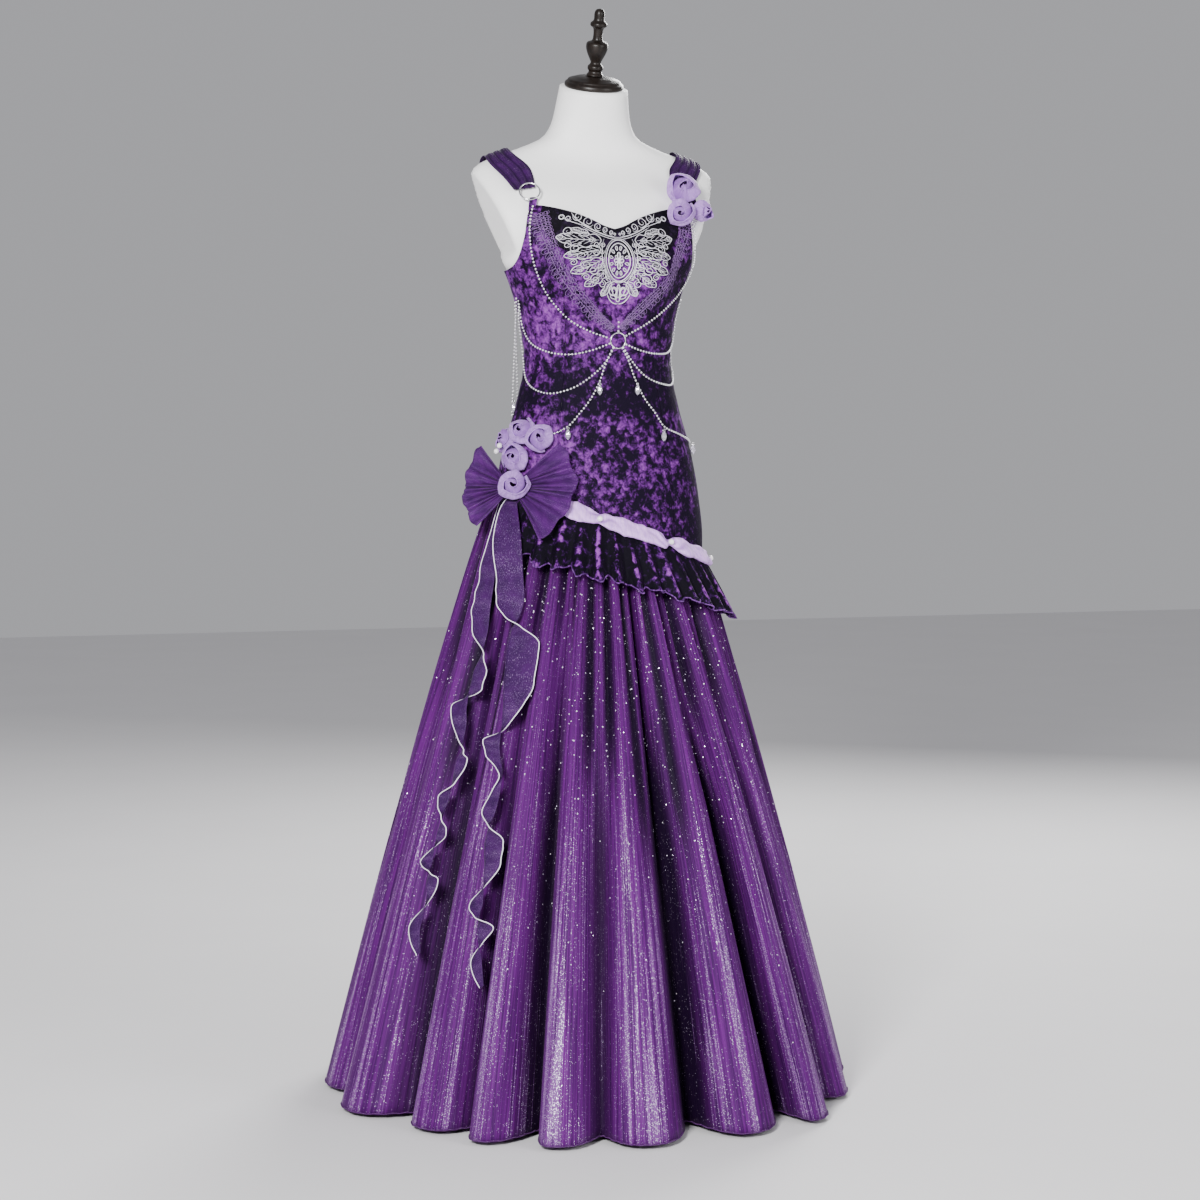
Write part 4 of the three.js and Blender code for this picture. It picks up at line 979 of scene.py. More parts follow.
for row in bands:
    def surface(along, across):
        angle = mix(row["from"], row["to"], along)
        full = bandFullness(row, angle)
        turn = mix(-0.62, 0.62, across) * np.pi
        gathers = np.sin(angle * 0.55 + 2.6 * np.sin(across * 4 + angle * 0.13))
        gathers += 0.5 * np.sin(angle * 1.3 + 5 * across)
        ridges = bandRidges(angle, across) * (0.6 + 2.2 * nearPearls(row, angle, 11))
        height = seamHeight(angle) - 1 + 12.5 * full * np.sin(turn) * (1 + 0.03 * gathers)
        depth = 9 * full * np.maximum(np.cos(turn), 0) ** 0.8
        relief = (0.25 * gathers + 0.55 * ridges) * np.cos(turn * 0.8)
        return polar(angle, clearOfCloth(angle, height) + depth + 0.7 * full + relief, height)

    made = clothGrid(row["name"], surface, 280, 20, (row["cloth"]["flat"][0], 0.04), wall=0.6)
    along, across = shares(280, 20)
    angle = mix(row["from"], row["to"], along)
    # painted shade in the creases, deepest near the pearls
    crease = np.clip(-bandRidges(angle, across), 0, 1) ** 2
    keepValue(made, "hollow", crease * (0.2 + 0.8 * nearPearls(row, angle, 11)))
    fit(made, bandStuff, [row["node"]])
    for k, (angle, stand) in enumerate(row["pearls"]):
        middle = polar(angle, clearOfCloth(angle, seamHeight(angle) - 1) + stand, seamHeight(angle))
        pearlAt(f"{row['name']}_pearl_{k + 1}", 4.6, 32, 20, middle, [f"{row['node']}_pearl_{k + 1}"])
print("band made")

# Shoulder straps

strapAt = curves(
    [
        (0, 70.5, 1425, 63, 1429), (0.1, 73.5, 1437, 66, 1446), (0.22, 79, 1457, 72, 1470),
        (0.36, 90, 1481, 90, 1496), (0.48, 101, 1462, 108, 1474), (0.62, 112, 1420, 122, 1432),
        (0.8, 124, 1360, 136, 1366), (1, 133, 1306.5, 145, 1305.5),
    ],
    ["outerAngle", "outerHeight", "innerAngle", "innerHeight"],
)


def strapBase(along, across):
    return formSurface(
        mix(strapAt["outerAngle"](along), strapAt["innerAngle"](along), across),
        mix(strapAt["outerHeight"](along), strapAt["innerHeight"](along), across),
    )


# 1 on a pleat's crest, 0 in the groove beside it
def strapPleats(along, across):
    return abs(np.cos(across * 3.5 * np.pi + 0.35 * np.sin(along * 9)))


# The left strap's front end runs down to the neckline, and then the whole strap is smoothed.
def strapSurface(side, frontEnd, along, across):
    pleats = 1.9 * strapPleats(along, across) ** 0.7
    fine = 0.3 * (1 + np.cos(across * 23 * np.pi + 1.5 * np.sin(along * 11)))
    lift = 2.2 + pleats + fine + 3.4 * bump(along, 0, 0.07) + 5.0 * bump(along, 0.40, 0.20)
    point = movedOut(strapBase, along, across, lift)
    if frontEnd:
        fall = frontEnd * (1 - along / 0.1)
        angle = mix(70, 60, across) - 1.5 * (fall / frontEnd)
        lower = onForm(angle, strapAt["innerHeight"](along) - fall, lift)
        near = np.where(along < 0.1, ramp(0, 0.1, 0.1 - along), 0)[..., None]
        point = mix(point, lower, near)
    for _ in range(16):
        point[1:-1] = point[:-2] / 4 + point[1:-1] / 2 + point[2:] / 4
    return point * (side, 1, 1)


straps = [
    {
        "name": "gathered_strap_right", "node": "strap_right", "side": -1, "frontEnd": 0,
        "cloth": {"flat": (0.36, 0.045), "held": "gathered", "rests_on": ["form_body"]},
    },
    {
        "name": "gathered_strap_left", "node": "strap_left", "side": 1, "frontEnd": 22,
        "cloth": {"flat": (0.38, 0.045), "held": "gathered", "rests_on": ["form_body"]},
    },
]
for row in straps:
    def surface(along, across):
        return strapSurface(row["side"], row["frontEnd"], along, across)

    made = clothGrid(row["name"], surface, 90, 64, (0.36, 0.045), flip=row["side"] < 0, wall=0.7)
    # painted shade in the grooves between the pleats
    keepValue(made, "hollow", (1 - strapPleats(*shares(90, 64))) ** 2.5)
    fit(made, strapStuff, [row["node"]])


# A ring of wire that lies against the form
def wireRing(name, node, angle, height, distance, radius, wire):
    centre = onForm(angle, height, distance)
    normal = unit(onForm(angle, height, distance + 1.0) - centre)
    side = unit(np.cross(normal, [0, 0, 1]))
    above = np.cross(side, normal)
    ring = Batch()
    ring.tube(circle(centre, radius, side, above, 80), normal, wire, sides=14, close=True)
    fit(ring.make(name), silver, [node])


wireRing("strap_hoop", "strap_ring", -64.3, 1420.0, 10.5, 16, 1.3)
wireRing("centre_hoop", "centre_ring", 4.0, 1194.0, 5.2, 12.3, 1.1)


def tabSurface(across, down):
    bulge = 0.5 * np.cos((across - 0.5) * np.pi)
    lift = 3.9 + bulge + 4.3 * (1 - ramp(0.25, 0.9, down))
    return onForm(mix(-63.4, -60, across) + 0.5 * down, mix(1412, 1394, down), lift)


tab = clothGrid("velvet_tab", tabSurface, 16, 30, (0.01, 0.02), flip=True, wall=1.2)
fit(tab, velvet, ["strap_tab"])
print("straps made")

# Yoke, embroidery and lace

yokeEnd = 57
yokeEdge = curveThrough([0, 28, 38, 47, 52, yokeEnd], [1322, 1322, 1331, 1341, 1356, 1384])


def yokeSurface(across, share):
    angle = mix(-yokeEnd, yokeEnd, across)
    top = topEdge(abs(angle)) - 0.4
    rim = np.minimum(np.minimum(share, 1 - share) * 60, np.minimum(across, 1 - across) * 220)
    return onForm(angle, mix(yokeEdge(abs(angle)), top, share), 4.7 - 0.5 * np.exp(-rim / 0.9))


yoke = clothGrid("black_yoke", yokeSurface, 96, 24, (0.235, 0.05), wall=0.7)
fit(yoke, blackVelvet, ["yoke"])


# Threads of the embroidery. x counts from the dress's middle, 2 mm to a degree.
embroidery = Batch()


def stitch(line, width, close=False):
    lift, spacing = 5.6, 1.1
    if close:
        line = np.concatenate([line, line[:1]])
    run = runAlong(line)
    at = np.linspace(0, run[-1], max(5, int(run[-1] / spacing)))
    x, z = (np.interp(at, run, column) for column in line.T)
    angle = x / 2 + 1.5 * (1 - np.minimum(abs(x) / 98, 1))
    path = onForm(angle, z, lift)
    normal = unit(onForm(angle, z, lift + 1) - path)
    share = at / at[-1]
    taper = np.clip(np.minimum(share, 1 - share) * 7, 0.35, 1)
    if close:
        path, normal, taper = path[:-1], normal[:-1], 1
    embroidery.tube(path, normal, width / 2 * taper, 0.7, 6, close)


def scroll(x, z, size, degrees, curl, turns=1.6):
    t = np.linspace(0, 1, 40)
    radius = size * (1 - t) ** 0.85 * 0.5 + 0.08 * size
    turn = math.radians(degrees) + curl * 2 * np.pi * turns * t
    return np.stack([x + radius * np.cos(turn), z + radius * np.sin(turn)], -1)


def heading(degrees):
    return math.cos(math.radians(degrees)), math.sin(math.radians(degrees))


def placed(along, across, x, z, degrees):
    c, s = heading(degrees)
    return np.stack([x + along * c - across * s, z + along * s + across * c], -1)


def petal(x, z, degrees, length, width):
    t = np.linspace(0, 2 * np.pi, 22)[:-1]
    share = (1 - np.cos(t)) / 2
    return placed(length * share, width / 2 * np.sin(t) * (0.55 + 0.45 * share), x, z, degrees)


def bezier(*points):
    p = np.array(points, float)
    t = np.linspace(0, 1, 30)[:, None]
    return (1 - t) ** 3 * p[0] + 3 * (1 - t) ** 2 * t * p[1] + 3 * (1 - t) * t**2 * p[2] + t**3 * p[3]


# The same thread on both sides
def both(line, width, close=False):
    stitch(line, width, close)
    stitch(line * (-1, 1), width, close)


def oval(x, z, wide, tall, count=60):
    t = np.linspace(0, 2 * np.pi, count)[:-1]
    return np.stack([x + wide * np.cos(t), z + tall * np.sin(t)], -1)


# A lobed leaf that bends towards its tip, with a midrib and side veins
def leaf(x, z, degrees, length, width, bend, lobes):
    def bent(along, across):
        return placed(along, across + bend * (along / length) ** 2, x, z, degrees)

    def halfWidth(share):
        return width / 2 * np.sqrt(np.clip(share * (1 - share), 0, 1)) * 2 * (1.12 - 0.35 * share)

    t = np.linspace(0, 2 * np.pi, 72)[:-1]
    share = (1 - np.cos(t)) / 2
    lobed = 0.8 + 0.34 * abs(np.sin(lobes * np.pi * share))
    both(bent(length * share, np.sign(np.sin(t)) * halfWidth(share) * lobed), 1.3, close=True)
    run = np.linspace(0.04, 0.9, 16)
    both(bent(length * run, 0 * run), 1.1)
    reach = np.linspace(0, 1, 7)
    for start in np.arange(0.12, 0.78, 0.13):
        vein = start + 0.16 * reach
        for way in (-1, 1):
            both(bent(length * vein, way * halfWidth(vein) * 0.66 * reach**0.8), 0.7)


# centre medallion
medallion = 1317
for wide, tall, width in [(20, 26, 1.7), (24.5, 31, 1.5), (27, 33.6, 0.8)]:
    stitch(oval(0, medallion, wide, tall), width, close=True)
for turn in range(0, 360, 90):
    c, s = heading(turn)
    stitch(petal(0.6 * c, medallion + 0.8 * s, turn, 8.5 + 3.5 * abs(s), 6.5), 1.9, close=True)
    stitch(petal(c, medallion + s, turn + 45, 9.5, 4.5), 1.2, close=True)
for turn in range(15, 375, 30):
    c, s = heading(turn)
    stitch(petal(12 * c, medallion + 16 * s, turn, 6.5, 4.6), 1.3, close=True)

# arc below the neckline, with tendrils above it
arcLine = bezier((0, 1352), (22, 1352), (44, 1362), (62, 1372))
both(arcLine, 1.8)
both(arcLine - (0, 3.4), 1.0)
for x, z, size, turn, curl in [
    (11, 1359, 7, 250, 1), (22, 1363, 9, 240, 1), (35, 1368, 12, 230, 1), (51, 1376, 16, 215, 1),
    (68, 1384, 13, 20, -1), (81, 1381, 8, 200, 1),
]:
    both(scroll(x, z, size, turn, curl), 1.2)
both(bezier((46, 1366), (58, 1372), (70, 1376), (78, 1390)), 1.5)
both(bezier((58, 1369), (70, 1374), (82, 1376), (90, 1384)), 1.2)
both(oval(90, 1383, 3.2, 3.2, 20), 1.8, close=True)
both(oval(5, 1357, 1.7, 1.7, 12), 1.2, close=True)

# leaves at the sides of the medallion, each lower one hanging more
for row in [
    (31, 1347, -4, 62, 22, 9, 4), (50, 1354, 28, 28, 10, -3, 2), (33, 1334, -24, 47, 17, 7, 3),
    (31, 1318, -38, 42, 16, 7, 3), (27, 1301, -50, 34, 14, 6, 3), (17, 1285, -64, 25, 12, 4, 2),
]:
    leaf(*row)
for x, z, size, turn, curl in [
    (79, 1361, 11, 200, 1), (66, 1333, 10, 120, -1), (77, 1339, 8, 60, 1), (57, 1322, 11, 100, 1),
    (52, 1309, 9, 60, -1), (66, 1312, 7, 20, 1), (43, 1301, 9, 110, 1), (41, 1288, 8, 40, -1),
    (52, 1292, 6.5, 0, 1), (31, 1282, 8, 90, 1), (29, 1270, 7, 20, -1), (39, 1327, 7, 200, -1),
    (38, 1340, 7, 150, 1), (46, 1346, 6, 220, -1), (88, 1352, 6, 30, -1), (34, 1307, 6, 180, 1),
]:
    both(scroll(x, z, size * 1.25, turn, curl), 1.15)
# scrollwork between the medallion and the leaves
both(bezier((26, 1349), (34, 1332), (33, 1304), (13, 1282)), 1.2)
for x, z, turn in [
    (29, 1340, 120), (31, 1330, 150), (31.5, 1320, 180), (30, 1310, 200), (27, 1300, 220), (22, 1291, 240),
]:
    both(scroll(x, z, 7, turn, 1, 1.4), 1.1)
for x, z in [(47, 1335), (61, 1341), (46, 1318), (37, 1296), (72, 1326), (24, 1290), (58, 1300)]:
    both(oval(x, z, 1.5, 1.5, 12), 1.2, close=True)

# pendant below
both(scroll(10, 1272, 17, 100, -1), 1.7)
both(petal(3, 1262, 58, 15, 9), 1.4, close=True)
both(petal(3, 1260, 20, 13, 7), 1.3, close=True)
stitch(petal(0, 1281, 270, 26, 12), 1.6, close=True)
stitch(petal(0, 1277, 270, 16, 6), 1.2, close=True)
both(bezier((0, 1284), (10, 1288), (20, 1284), (24, 1274)), 1.5)
both(bezier((0, 1252), (9, 1251), (18, 1256), (22, 1268)), 1.5)
fit(embroidery.make("silver_embroidery"), silverThread, ["applique"])
print("embroidery made")

lacePaths = [
    {
        "name": "lace_edging_right", "node": "lace_right", "side": -1,
        "rows": [
            (0, 57, 1390), (0.16, 54, 1366), (0.32, 48.5, 1336), (0.48, 40, 1302),
            (0.64, 30.5, 1268), (0.8, 20, 1239), (1, 1.2, 1212),
        ],
    },
    {
        "name": "lace_edging_left", "node": "lace_left", "side": 1,
        "rows": [
            (0, 59, 1395), (0.16, 58, 1366), (0.32, 52.5, 1336), (0.48, 42, 1304),
            (0.64, 31, 1272), (0.8, 22, 1244), (1, 5.4, 1212),
        ],
    },
]


# Threads of one lace trimming: rings and bars in a dense band, a ladder, and a row of picots
def laceTrim(row):
    at = curves(row["rows"], ["angle", "height"])
    batch = Batch()
    degree, laceWidth, lift, step = 2.06, 24, 6.2, 0.01

    def strand(along, offset, width, close=False):
        run = (at["angle"](along + step) - at["angle"](along - step)) * degree
        fall = at["height"](along + step) - at["height"](along - step)
        length = np.hypot(run, fall)
        shift = (offset - 0.3) * laceWidth * (1 - 0.45 * ramp(0.75, 1, along))
        angle = row["side"] * (at["angle"](along) - fall / length * shift / degree)
        height = at["height"](along) + run / length * shift
        path = onForm(angle, height, lift)
        batch.tube(path, unit(onForm(angle, height, lift + 1) - path), width / 2, 0.8, 5, close)

    repeats = 29
    line = np.linspace(0.004, 0.996, 260)
    lines = [(0.02, 1.0, 0.02), (0.19, 0.7, 0.05), (0.35, 0.7, 0.05), (0.52, 1.0, 0.02)]
    for offset, width, swing in lines:
        strand(line, offset + swing * np.sin(line * repeats * 6.9 + offset * 20), width)
    turn = np.linspace(0, 2 * np.pi, 12)[:-1]
    loop = np.linspace(0, np.pi, 11)
    half = 0.5 / repeats
    for k in range(repeats):
        for offset, reach in [(0.1, 0.08), (0.27, 0.1), (0.43, 0.08)]:
            middle = (k + 0.5 + dice.uniform(-0.3, 0.3)) / repeats
            grown = dice.uniform(0.7, 1.15)
            ring = offset + reach * grown * np.sin(turn) + dice.uniform(-0.03, 0.03)
            strand(middle + half * 0.75 * grown * np.cos(turn), ring, dice.uniform(0.65, 1.0), close=True)
        middle = (k + 0.5 + dice.uniform(-0.25, 0.25)) / repeats
        reach = dice.uniform(0.26, 0.46)
        strand(middle + half * 1.1 * np.cos(loop), 0.53 + reach * np.sin(loop), 0.75)
        strand(middle + half * (0.5 * np.cos(loop) + 0.4), 0.53 + 0.6 * reach * np.sin(loop), 0.6)
        strand(middle + half * 0.8 * np.cos(loop), -dice.uniform(0.06, 0.12) * np.sin(loop), 0.6)
    fit(batch.make(row["name"]), laceThread, [row["node"]])


for row in lacePaths:
    laceTrim(row)
print("lace made")

# Ball chains and crystals

# Places along each chain: angle, height, and how far it stands off if that isn't chainLift
chains = [
    [
        (-61, 1398, 9), (-61.4, 1358, 8.4), (-59.8, 1304, 7), (-52.2, 1257, 5), (-40.2, 1226),
        (-23.4, 1208), (-8, 1199, 4.8),
    ],
    [
        (62, 1390, 9), (68.2, 1340, 5), (79, 1305), (66.2, 1275), (49, 1246), (31, 1220),
        (12.6, 1202, 4.8),
    ],
    [
        (-83.8, 1258), (-87, 1220), (-78.6, 1194), (-63.4, 1178), (-45.8, 1172), (-23.8, 1178),
        (-5, 1189, 4.8),
    ],
    [
        (-83.8, 1258), (-98.2, 1196), (-89, 1148), (-73.4, 1120), (-57.8, 1110), (-42.2, 1116),
        (-23.8, 1136), (-7, 1164), (-1, 1183, 4.8),
    ],
    [
        (13, 1188, 4.8), (28.2, 1179), (45.4, 1174), (65.4, 1178), (80, 1205), (84, 1262),
    ],
    [
        (10, 1183, 4.8), (19.8, 1161), (33, 1138), (49.4, 1126), (66.2, 1125), (80, 1149), (88, 1205),
        (85, 1262),
    ],
    [
        (-0.6, 1182, 4.8), (-7.8, 1160), (-16.2, 1124), (-23.4, 1101), (-33, 1077), (-40.2, 1059),
        (-49, 1048), (-54, 1044),
    ],
    [
        (4, 1223, 4.8), (4, 1214, 4.8), (4, 1209, 4.8),
    ],
    [
        (9, 1182, 4.8), (15.4, 1164), (22.2, 1132), (30.2, 1101), (38.6, 1080), (45.4, 1058), (59, 1046),
        (78.6, 1032),
    ],
]
chainLift, beadSpacing = 4.6, 5.6
beadPoints, beadFaces = ball(1.85, 8, 6)
beads, links = Batch(), Batch()


def chain(path):
    links.tube(path, outwardOf(path), 0.12, sides=4)
    for middle in path:
        beads.add(beadPoints + middle, beadFaces)


for rows in chains:
    chain(pathOnForm([(*row, chainLift)[:3] for row in rows], beadSpacing))

# two straight chains beside the body, from the side of the bust to the hip
for start, end in [((-86, 1262), (-104, 1075)), ((-92, 1256), (-112, 1090))]:
    ends = np.array([onForm(*start, chainLift), onForm(*end, 5.0)])
    chain(evenly(ends, beadSpacing))
fit(beads.make("ball_chains"), chainSilver)
fit(links.make("chain_links"), silver)

crystals = [
    ("crystal_upper_right", -15, 1116, 4.0), ("crystal_upper_left", 23, 1116, 3.9),
    ("crystal_lower_right", -40, 1046, 3.7), ("crystal_lower_left", 43, 1043, 3.5),
    ("crystal_side_left", 80, 1020, 4.1), ("crystal_side_right", -99, 1088, 1.9),
]
dropRows = [(0, -9), (2.3, -7.2), (3.9, -4.4), (4.5, -1), (3.9, 2.4), (2.3, 5.6), (1.2, 7.2), (0, 7.6)]
for node, angle, height, stand in crystals:
    centre = onForm(angle, height, bodiceOuter + stand)
    made = turnedMesh("cut_" + node, dropRows, 8, 0, lambda points: points + centre)
    made.data.shade_flat()
    fit(made, crystalGlass, [node])
    cap = Batch()
    cap.tube(circle(centre + [0, 0, 6.6], 1.5, [1, 0, 0], [0, 1, 0]), [0, 0, 1], 0.5, close=True)
    cap.tube(circle(centre + [0, 0, 9.0], 1.8, [1, 0, 0], [0, 0, 1]), [0, -1, 0], 0.4, close=True)
    fit(cap.make("cap_" + node), silver)
print("chains made")

# Fan

fanNormal = polar(-38, math.cos(math.radians(8)), math.sin(math.radians(8)))
fanRight = polar(52, 1, 0)
fanRise = np.cross(fanNormal, fanRight)
fanMiddle = np.array([-160, -65, 965])
fanLobes = [
    {
        "name": "fan_front", "node": "fan_front_lobe", "from": -52, "to": 42,
        "reach": 106, "pleats": 11, "neck": 14,
        "cloth": {
            "flat": (0.26, 0.11), "held": "folded", "area": 0.0165, "rests_on": ["bodice_side_front_right"],
        },
    },
    {
        "name": "fan_rear", "node": "fan_rear_lobe", "from": 130, "to": 235,
        "reach": 82, "pleats": 11, "neck": 17,
        "cloth": {
            "flat": (0.24, 0.085), "held": "folded", "area": 0.0125, "rests_on": ["bodice_back_right"],
        },
    },
]


def fanPoint(turn, radius, out):
    turn = np.radians(turn)[..., None]
    radius, out = radius[..., None], out[..., None]
    right, rise = radius * np.cos(turn), radius * np.sin(turn)
    fall = 0.0052 * np.minimum(0, rise) ** 2
    return fanMiddle + fanRight * right + fanRise * rise + fanNormal * (out + fall)


# Pleats of uneven width across a lobe: 1 in a valley, 0 on a crest
def pleatFold(row, across):
    count = across * row["pleats"] + 0.5 * np.sin(across * 9 + 1) + 0.24 * np.sin(across * 25)
    return abs(count % 1 * 2 - 1)


for row in fanLobes:
    def surface(across, outward):
        rim = 0.03 * np.sin(across * 23) + 0.02 * np.sin(across * 11 + 1)
        radius = mix(7, row["reach"] * (1 + rim), outward)
        wave = 1 - 2 * pleatFold(row, across)
        crease = mix(wave, np.sin(wave * np.pi / 2), outward)
        deep = 0.6 + 0.4 * np.sin(across * 19 + 2) ** 2
        depth = crease * deep * (0.8 + 6.4 * outward - 5.6 * outward**3)
        back = row["neck"] * np.maximum(0, 1 - outward / 0.12)
        bow = 2.2 * np.sin(across * 5 + outward * 2) * outward
        return fanPoint(mix(row["from"], row["to"], across), radius, depth - back + bow)

    made = clothGrid(row["name"], surface, 242, 18, (0.28, 0.1), wall=0.7, offset=0)
    across, outward = shares(242, 18)
    # painted shade in the pleats' valleys and towards the fan's middle
    valley = pleatFold(row, across) * (0.7 + 0.3 * np.sin(across * 19 + 2) ** 2)
    keepValue(made, "hollow", 1.1 * valley**3 * (1 - 0.75 * outward**2) + 0.5 * (1 - outward) ** 3)
    fit(made, pleatStuff, [row["node"]])
print("fan made")

# Roses, each wound from one strip of cloth

roses = [
    # node, middle, size, the angle it faces, tilt up, turns
    ("hip_rose_low", -165.5, -83.1, 970, 24.5, -26, 0.1, 2.1),
    ("hip_rose_middle", -154.7, -61.2, 1008, 22.5, -32, 0.15, 2.3),
    ("hip_rose_front", -118.2, -89.4, 1043, 22.5, -16, 0.2, 2.2),
    ("hip_rose_top", -143.3, -55.8, 1056, 22.5, -38, 0.5, 2.3),
    ("hip_rose_rear", -162.1, -19.5, 1037, 20.5, -62, 0.2, 2.1),
    ("shoulder_rose_top", 123.7, -72, 1434, 26.5, -8, 0.3, 2.2),
    ("shoulder_rose_inner", 110, -94.6, 1397.3, 22, -14, 0.0, 2.3),
    ("shoulder_rose_outer", 153.5, -73.7, 1402, 19, 26, -0.1, 2.0),
]
for k, (node, x, y, z, size, facing, tilt, turns) in enumerate(roses):
    out = unit(polar(facing, 1, tilt))
    side = unit(np.cross([0, 0, 1], out))
    above = np.cross(out, side)

    def surface(along, across):
        turn = 2 * np.pi * turns * along + 1.9 * k
        corner = 1 - abs(np.sin(turn * 1.25 + k))
        slant = 1 + 0.24 * np.cos(2 * turn + k) * (1 - along)
        base = size * (0.42 + 0.67 * along**0.8) * (1 + 0.16 * corner**2)
        uneven = 1 + 0.30 * corner * ramp(0, 0.5, along) - 0.07 * np.sin(turn * 2.6)
        opening = size * (0.05 + 0.71 * along**1.9) * uneven * slant
        tuck = ramp(0.9, 1, along)
        swell = base * (0.5 + 0.5 * np.sin(np.minimum(across / 0.45, 1) * np.pi / 2))
        lip = size * (0.05 + 0.08 * along) * ramp(0.8, 1, across) ** 2 * (1 - tuck)
        crinkle = size * (0.010 * np.sin(turn * 9 + across * 7) + 0.014 * np.sin(across * 17 + turn * 2.1))
        closing = ramp(0.34, 1, across) * (1 - 0.5 * tuck)
        radius = mix(swell, opening, closing) * (1 - 0.08 * tuck) + lip + crinkle
        top = size * (0.58 - 0.34 * along**1.4 + 0.20 * corner - 0.4 * tuck)
        rise = mix(-0.74 * size, top, across**0.85) - size * 0.07 * across**9
        lean = size * 0.16 * across
        right = radius * np.cos(turn) + lean * np.cos(1.7 * k)
        up = radius * np.sin(turn) + lean * np.sin(1.7 * k)
        return (x, y, z) + right[..., None] * side + up[..., None] * above + rise[..., None] * out

    cloth = {
        "flat": (round(turns * 2 * np.pi * size * 0.56 * mm, 3), round(1.35 * size * mm, 3)),
        "held": "folded",
        "rests_on": ["bodice_side_front_right" if "hip" in node else "strap_left"],
    }
    made = clothGrid("wound_" + node, surface, 168, 14, cloth["flat"], wall=0.8, offset=0)
    along, across = shares(168, 14)
    # painted shade on the turns hidden under outer ones, and deep inside the rose
    covered = 1 - ramp(0.95 - 1 / turns, 1.08 - 1 / turns, along)
    between = mix(0.3, 0.95, ramp(0.15, 0.6, along))
    shade = between * covered * (1 - ramp(0.68, 0.94, across)) + 0.15 * (1 - along) ** 2
    shade += 0.4 * (1 - ramp(0, 0.4, across)) * ramp(0.2, 0.6, along)
    keepValue(made, "hollow", np.clip(shade, 0, 1))
    fit(made, lilacStuff, [node])

# two small pearls at the side of the hip roses
for k, middle in enumerate([(-171.5, -36, 1029), (-176, -34, 1020)]):
    pearlAt(f"hip_pearl_{k + 1}", 4.2, 28, 18, middle)
print("roses made")

# Streamers, whose white edge winds round an almost straight core

# Each row holds angle, height and lift off the skirt, for the white edge and then for the core.
streamers = [
    {
        "name": "streamer_organza_front", "node": "streamer_front",
        "cloth": {"flat": (0.85, 0.05), "held": "hung", "area": 0.0247, "rests_on": ["skirt_front"]},
        "rows": [
            (-72.5, 952, 1.2, -67.5, 953, 1.2), (-70.5, 932, 16, -61, 932, 16), (-66, 882, 27, -53, 884, 27),
            (-62, 830, 19, -50, 830, 19), (-61, 796, 12, -48.5, 792, 12), (-53, 766, 23, -49.5, 764, 10),
            (-46, 752, 23, -52, 746, 10), (-39, 726, 12, -52, 724, 12), (-39, 670, 12, -50.5, 666, 12),
            (-42.5, 630, 12, -49, 628, 12), (-49, 594, 5, -48, 600, 15), (-54, 580, 12, -48, 580, 12),
            (-52, 558, 12, -47, 558, 12), (-45, 532, 23, -45.5, 536, 10), (-48.5, 500, 12, -45, 506, 12),
            (-50, 476, 12, -45.5, 478, 12), (-46, 458, 23, -47, 456, 10), (-41.5, 434, 12, -47.5, 432, 12),
            (-41.5, 404, 12, -46.5, 402, 12), (-46, 366, 5, -45.5, 374, 15), (-49, 342, 12, -45, 344, 12),
            (-46, 326, 23, -45.5, 328, 10), (-41, 312, 12, -45.5, 310, 12), (-44, 286, 5, -44.5, 290, 15),
            (-46, 258, 12, -43, 264, 12), (-42.5, 224, 12, -41.5, 228, 12),
        ],
    },
    {
        "name": "streamer_organza_rear", "node": "streamer_rear",
        "cloth": {"flat": (0.80, 0.045), "held": "hung", "area": 0.0162, "rests_on": ["skirt_front"]},
        "rows": [
            (-79, 946, 0.4, -74.5, 947, 0.4), (-74, 886, 9, -67.5, 888, 9), (-73, 850, 12, -65.5, 852, 12),
            (-71.5, 820, 12, -63.5, 818, 12), (-71, 782, 12, -62.5, 784, 12), (-67, 738, 12, -61, 742, 12),
            (-58.5, 708, 23, -61.5, 712, 10), (-58, 682, 12, -63, 680, 12), (-58.5, 654, 12, -63, 656, 12),
            (-65, 640, 5, -62.5, 648, 15), (-68.5, 628, 12, -62.5, 630, 12), (-65.5, 594, 12, -61, 596, 12),
            (-58.5, 564, 23, -61, 566, 10), (-58, 546, 12, -62, 544, 12), (-59, 516, 23, -62, 516, 10),
            (-65.5, 490, 12, -61.5, 492, 12), (-61.5, 466, 23, -62.5, 466, 10), (-60, 440, 12, -63, 440, 12),
            (-63.5, 418, 5, -62.5, 424, 15), (-66.5, 394, 12, -62.5, 398, 12), (-61.5, 382, 23, -63, 382, 10),
            (-59.5, 368, 12, -63, 366, 12), (-62.5, 330, 5, -61.5, 338, 15), (-65.5, 294, 12, -62, 300, 12),
            (-61.5, 256, 12, -60.5, 262, 12),
        ],
    },
]


def beforeSkirt(angle, height, lift):
    return polar(angle, crestRadius(angle, shareDown(angle, height)) + lift, height)


for row in streamers:
    table = np.array(row["rows"], float)
    spot = np.linspace(0, 1, len(table))
    value = [curveThrough(spot, column) for column in table.T]

    def surface(along, across):
        edge = beforeSkirt(*[curve(along) for curve in value[:3]])
        core = beforeSkirt(*[curve(along) for curve in value[3:]])
        ripple = np.sin(along * 150 + 2 * np.sin(along * 37)) * across**2 * 1.1 * ramp(0.02, 0.1, along)
        point = mix(core, edge, across[..., None])
        return point + outwardOf(point) * (ripple + 0.5)[..., None]

    made = clothGrid(row["name"], surface, 520, 9, (0.85, 0.04), wall=0.5, offset=0)
    fit(made, streamerStuff, [row["node"]])
    along = np.linspace(0, 1, 900)
    edging(row["name"] + "_edge", surface(along, 1 + 0 * along), 0.75, edgeThread, 7)
print("streamers made")

# Sparkles on the skirt, denser below the flounce

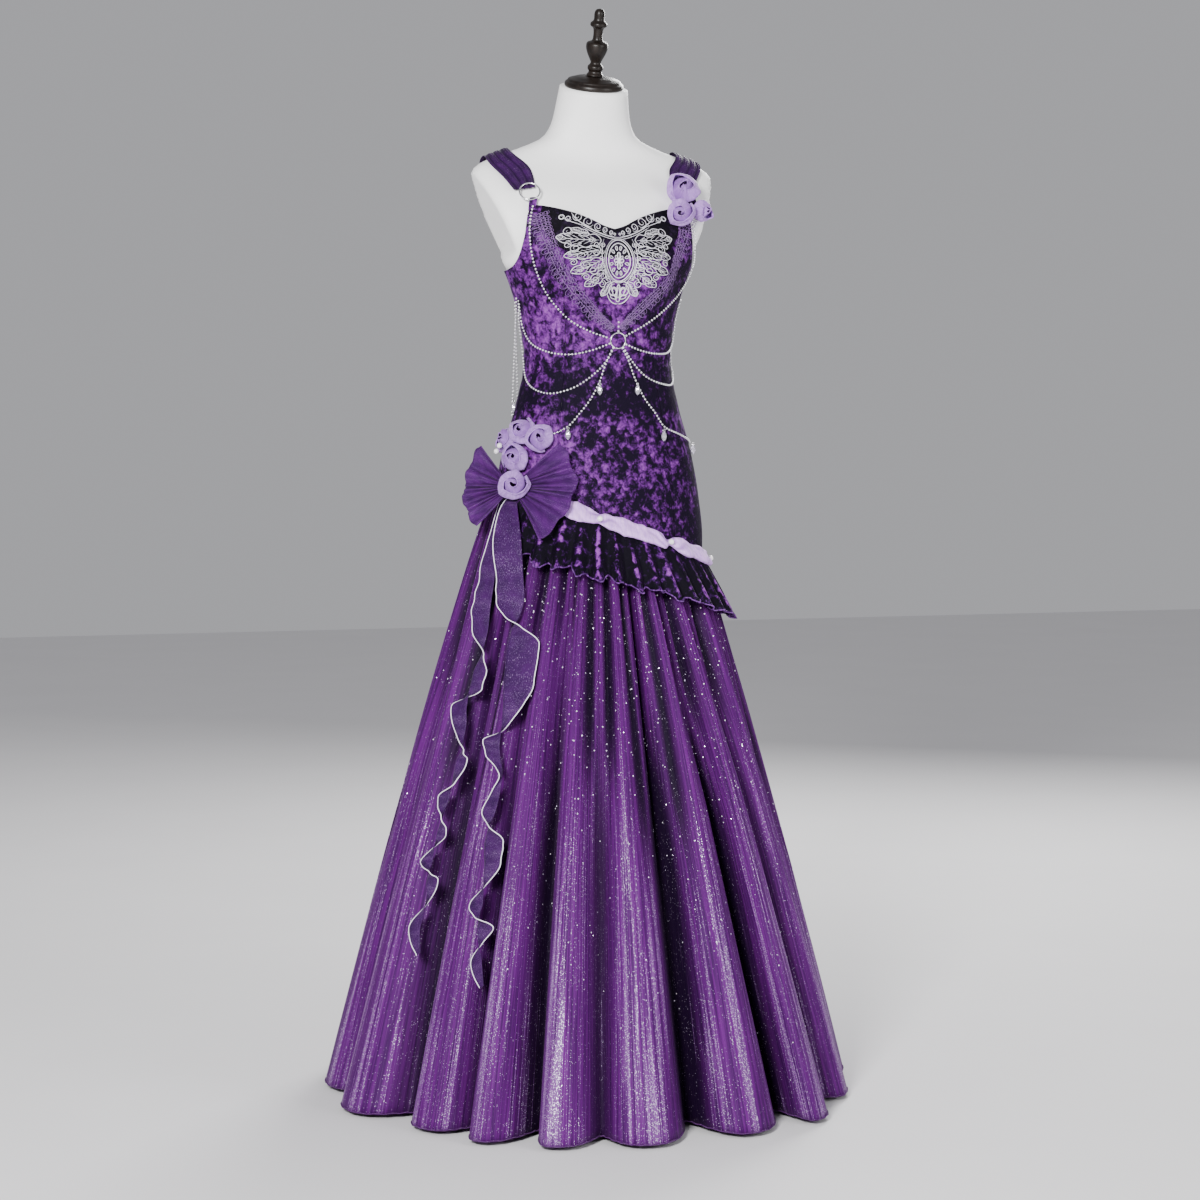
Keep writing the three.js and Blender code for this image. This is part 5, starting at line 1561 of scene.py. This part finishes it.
sparks = Batch()
count = 1600
place = np.concatenate([dice.uniform(1.5, 9, count // 2), dice.uniform(0, 19, count // 2)])
share = np.clip(dice.beta(1.1, 2.6, len(place)) * 0.95 + 0.06, 0.06, 0.98)
spots = movedOut(skirtSurface, place, share, -0.4)
normals = unit(movedOut(skirtSurface, place, share, -1.4) - spots)
sizes = dice.uniform(0.45, 1.25, len(place))
turns = dice.uniform(0, 6.28, len(place))
sparkFaces = [[0, 1 + a, 1 + (a + 1) % 6] for a in range(6)]
for spot, normal, size, turn in zip(spots, normals, sizes, turns):
    side = unit(np.cross(normal, [0.3, 0.1, 1]))
    above = np.cross(normal, side)
    first = math.cos(turn) * side + math.sin(turn) * above
    ring = circle(spot, size, first, np.cross(normal, first), 6)
    sparks.add(np.array([spot + normal * 0.5 * size, *ring]), sparkFaces)
# the sparkles glow a little through their emission: painted glints
glowingSparkStuff = Stuff("crystal", "sparkles", Metallic=0.6, Roughness=0.18, Emission_Strength=0.35)
sparkTone = glowingSparkStuff.noise(glowingSparkStuff.place(), 240, 1).between(0.35, 0.65)
sparkColour = sparkTone.blend((0.95, 0.93, 1.0), (0.80, 0.70, 0.95))
glowingSparkStuff.drive(Base_Color=sparkColour, Emission_Color=sparkColour)
fit(sparks.make("skirt_sparkles", smooth=False), glowingSparkStuff)
print("sparkles made")

# Floor, lights and camera

floorStuff = Stuff("floor", Roughness=0.8)
floorTone = floorStuff.noise(floorStuff.place(), 3, 2).blend((0.74, 0.73, 0.74), (0.78, 0.77, 0.78))
floorStuff.drive(Base_Color=floorTone)
corners = [(-9000, -9000, 0), (9000, -9000, 0), (9000, 9000, 0), (-9000, 9000, 0)]
floor = addMesh("floor", corners, [[0, 1, 2, 3]])
floor.data.materials.append(floorStuff.material)

world = bpy.data.worlds.new("studio")
scene.world = world
world.use_nodes = True
background = world.node_tree.nodes["Background"]
background.inputs["Color"].default_value = (0.80, 0.80, 0.84, 1)
background.inputs["Strength"].default_value = 0.52

lamps = [
    # name, place, aims at, size, power
    ("key", (-2.3, -3.7, 2.3), (0, 0, 0.9), 0.9, 340),
    ("fill", (2.4, -3.4, 1.8), (0, 0, 0.8), 1.6, 70),
    ("rim", (1.9, 2.6, 2.6), (0, 0, 1.0), 1.4, 150),
]
for name, spot, aim, size, power in lamps:
    light = bpy.data.lights.new(name, "AREA")
    light.size = size
    light.energy = power
    lamp = bpy.data.objects.new(name, light)
    lamp.location = spot
    lamp.rotation_euler = (Vector(aim) - Vector(spot)).to_track_quat("-Z", "Y").to_euler()
    scene.collection.objects.link(lamp)

camera = bpy.data.objects.new("camera", bpy.data.cameras.new("camera"))
camera.data.lens = 85
camera.data.sensor_width = 36
camera.data.shift_x = 3 / 1200
camera.data.clip_end = 60
turn = math.radians(-17)
distance = 4.55
camera.location = (distance * math.sin(turn), -distance * math.cos(turn), 1.10)
camera.rotation_euler = (math.radians(90 - 4.03), 0, turn)
scene.collection.objects.link(camera)
bpy.context.scene.camera = camera
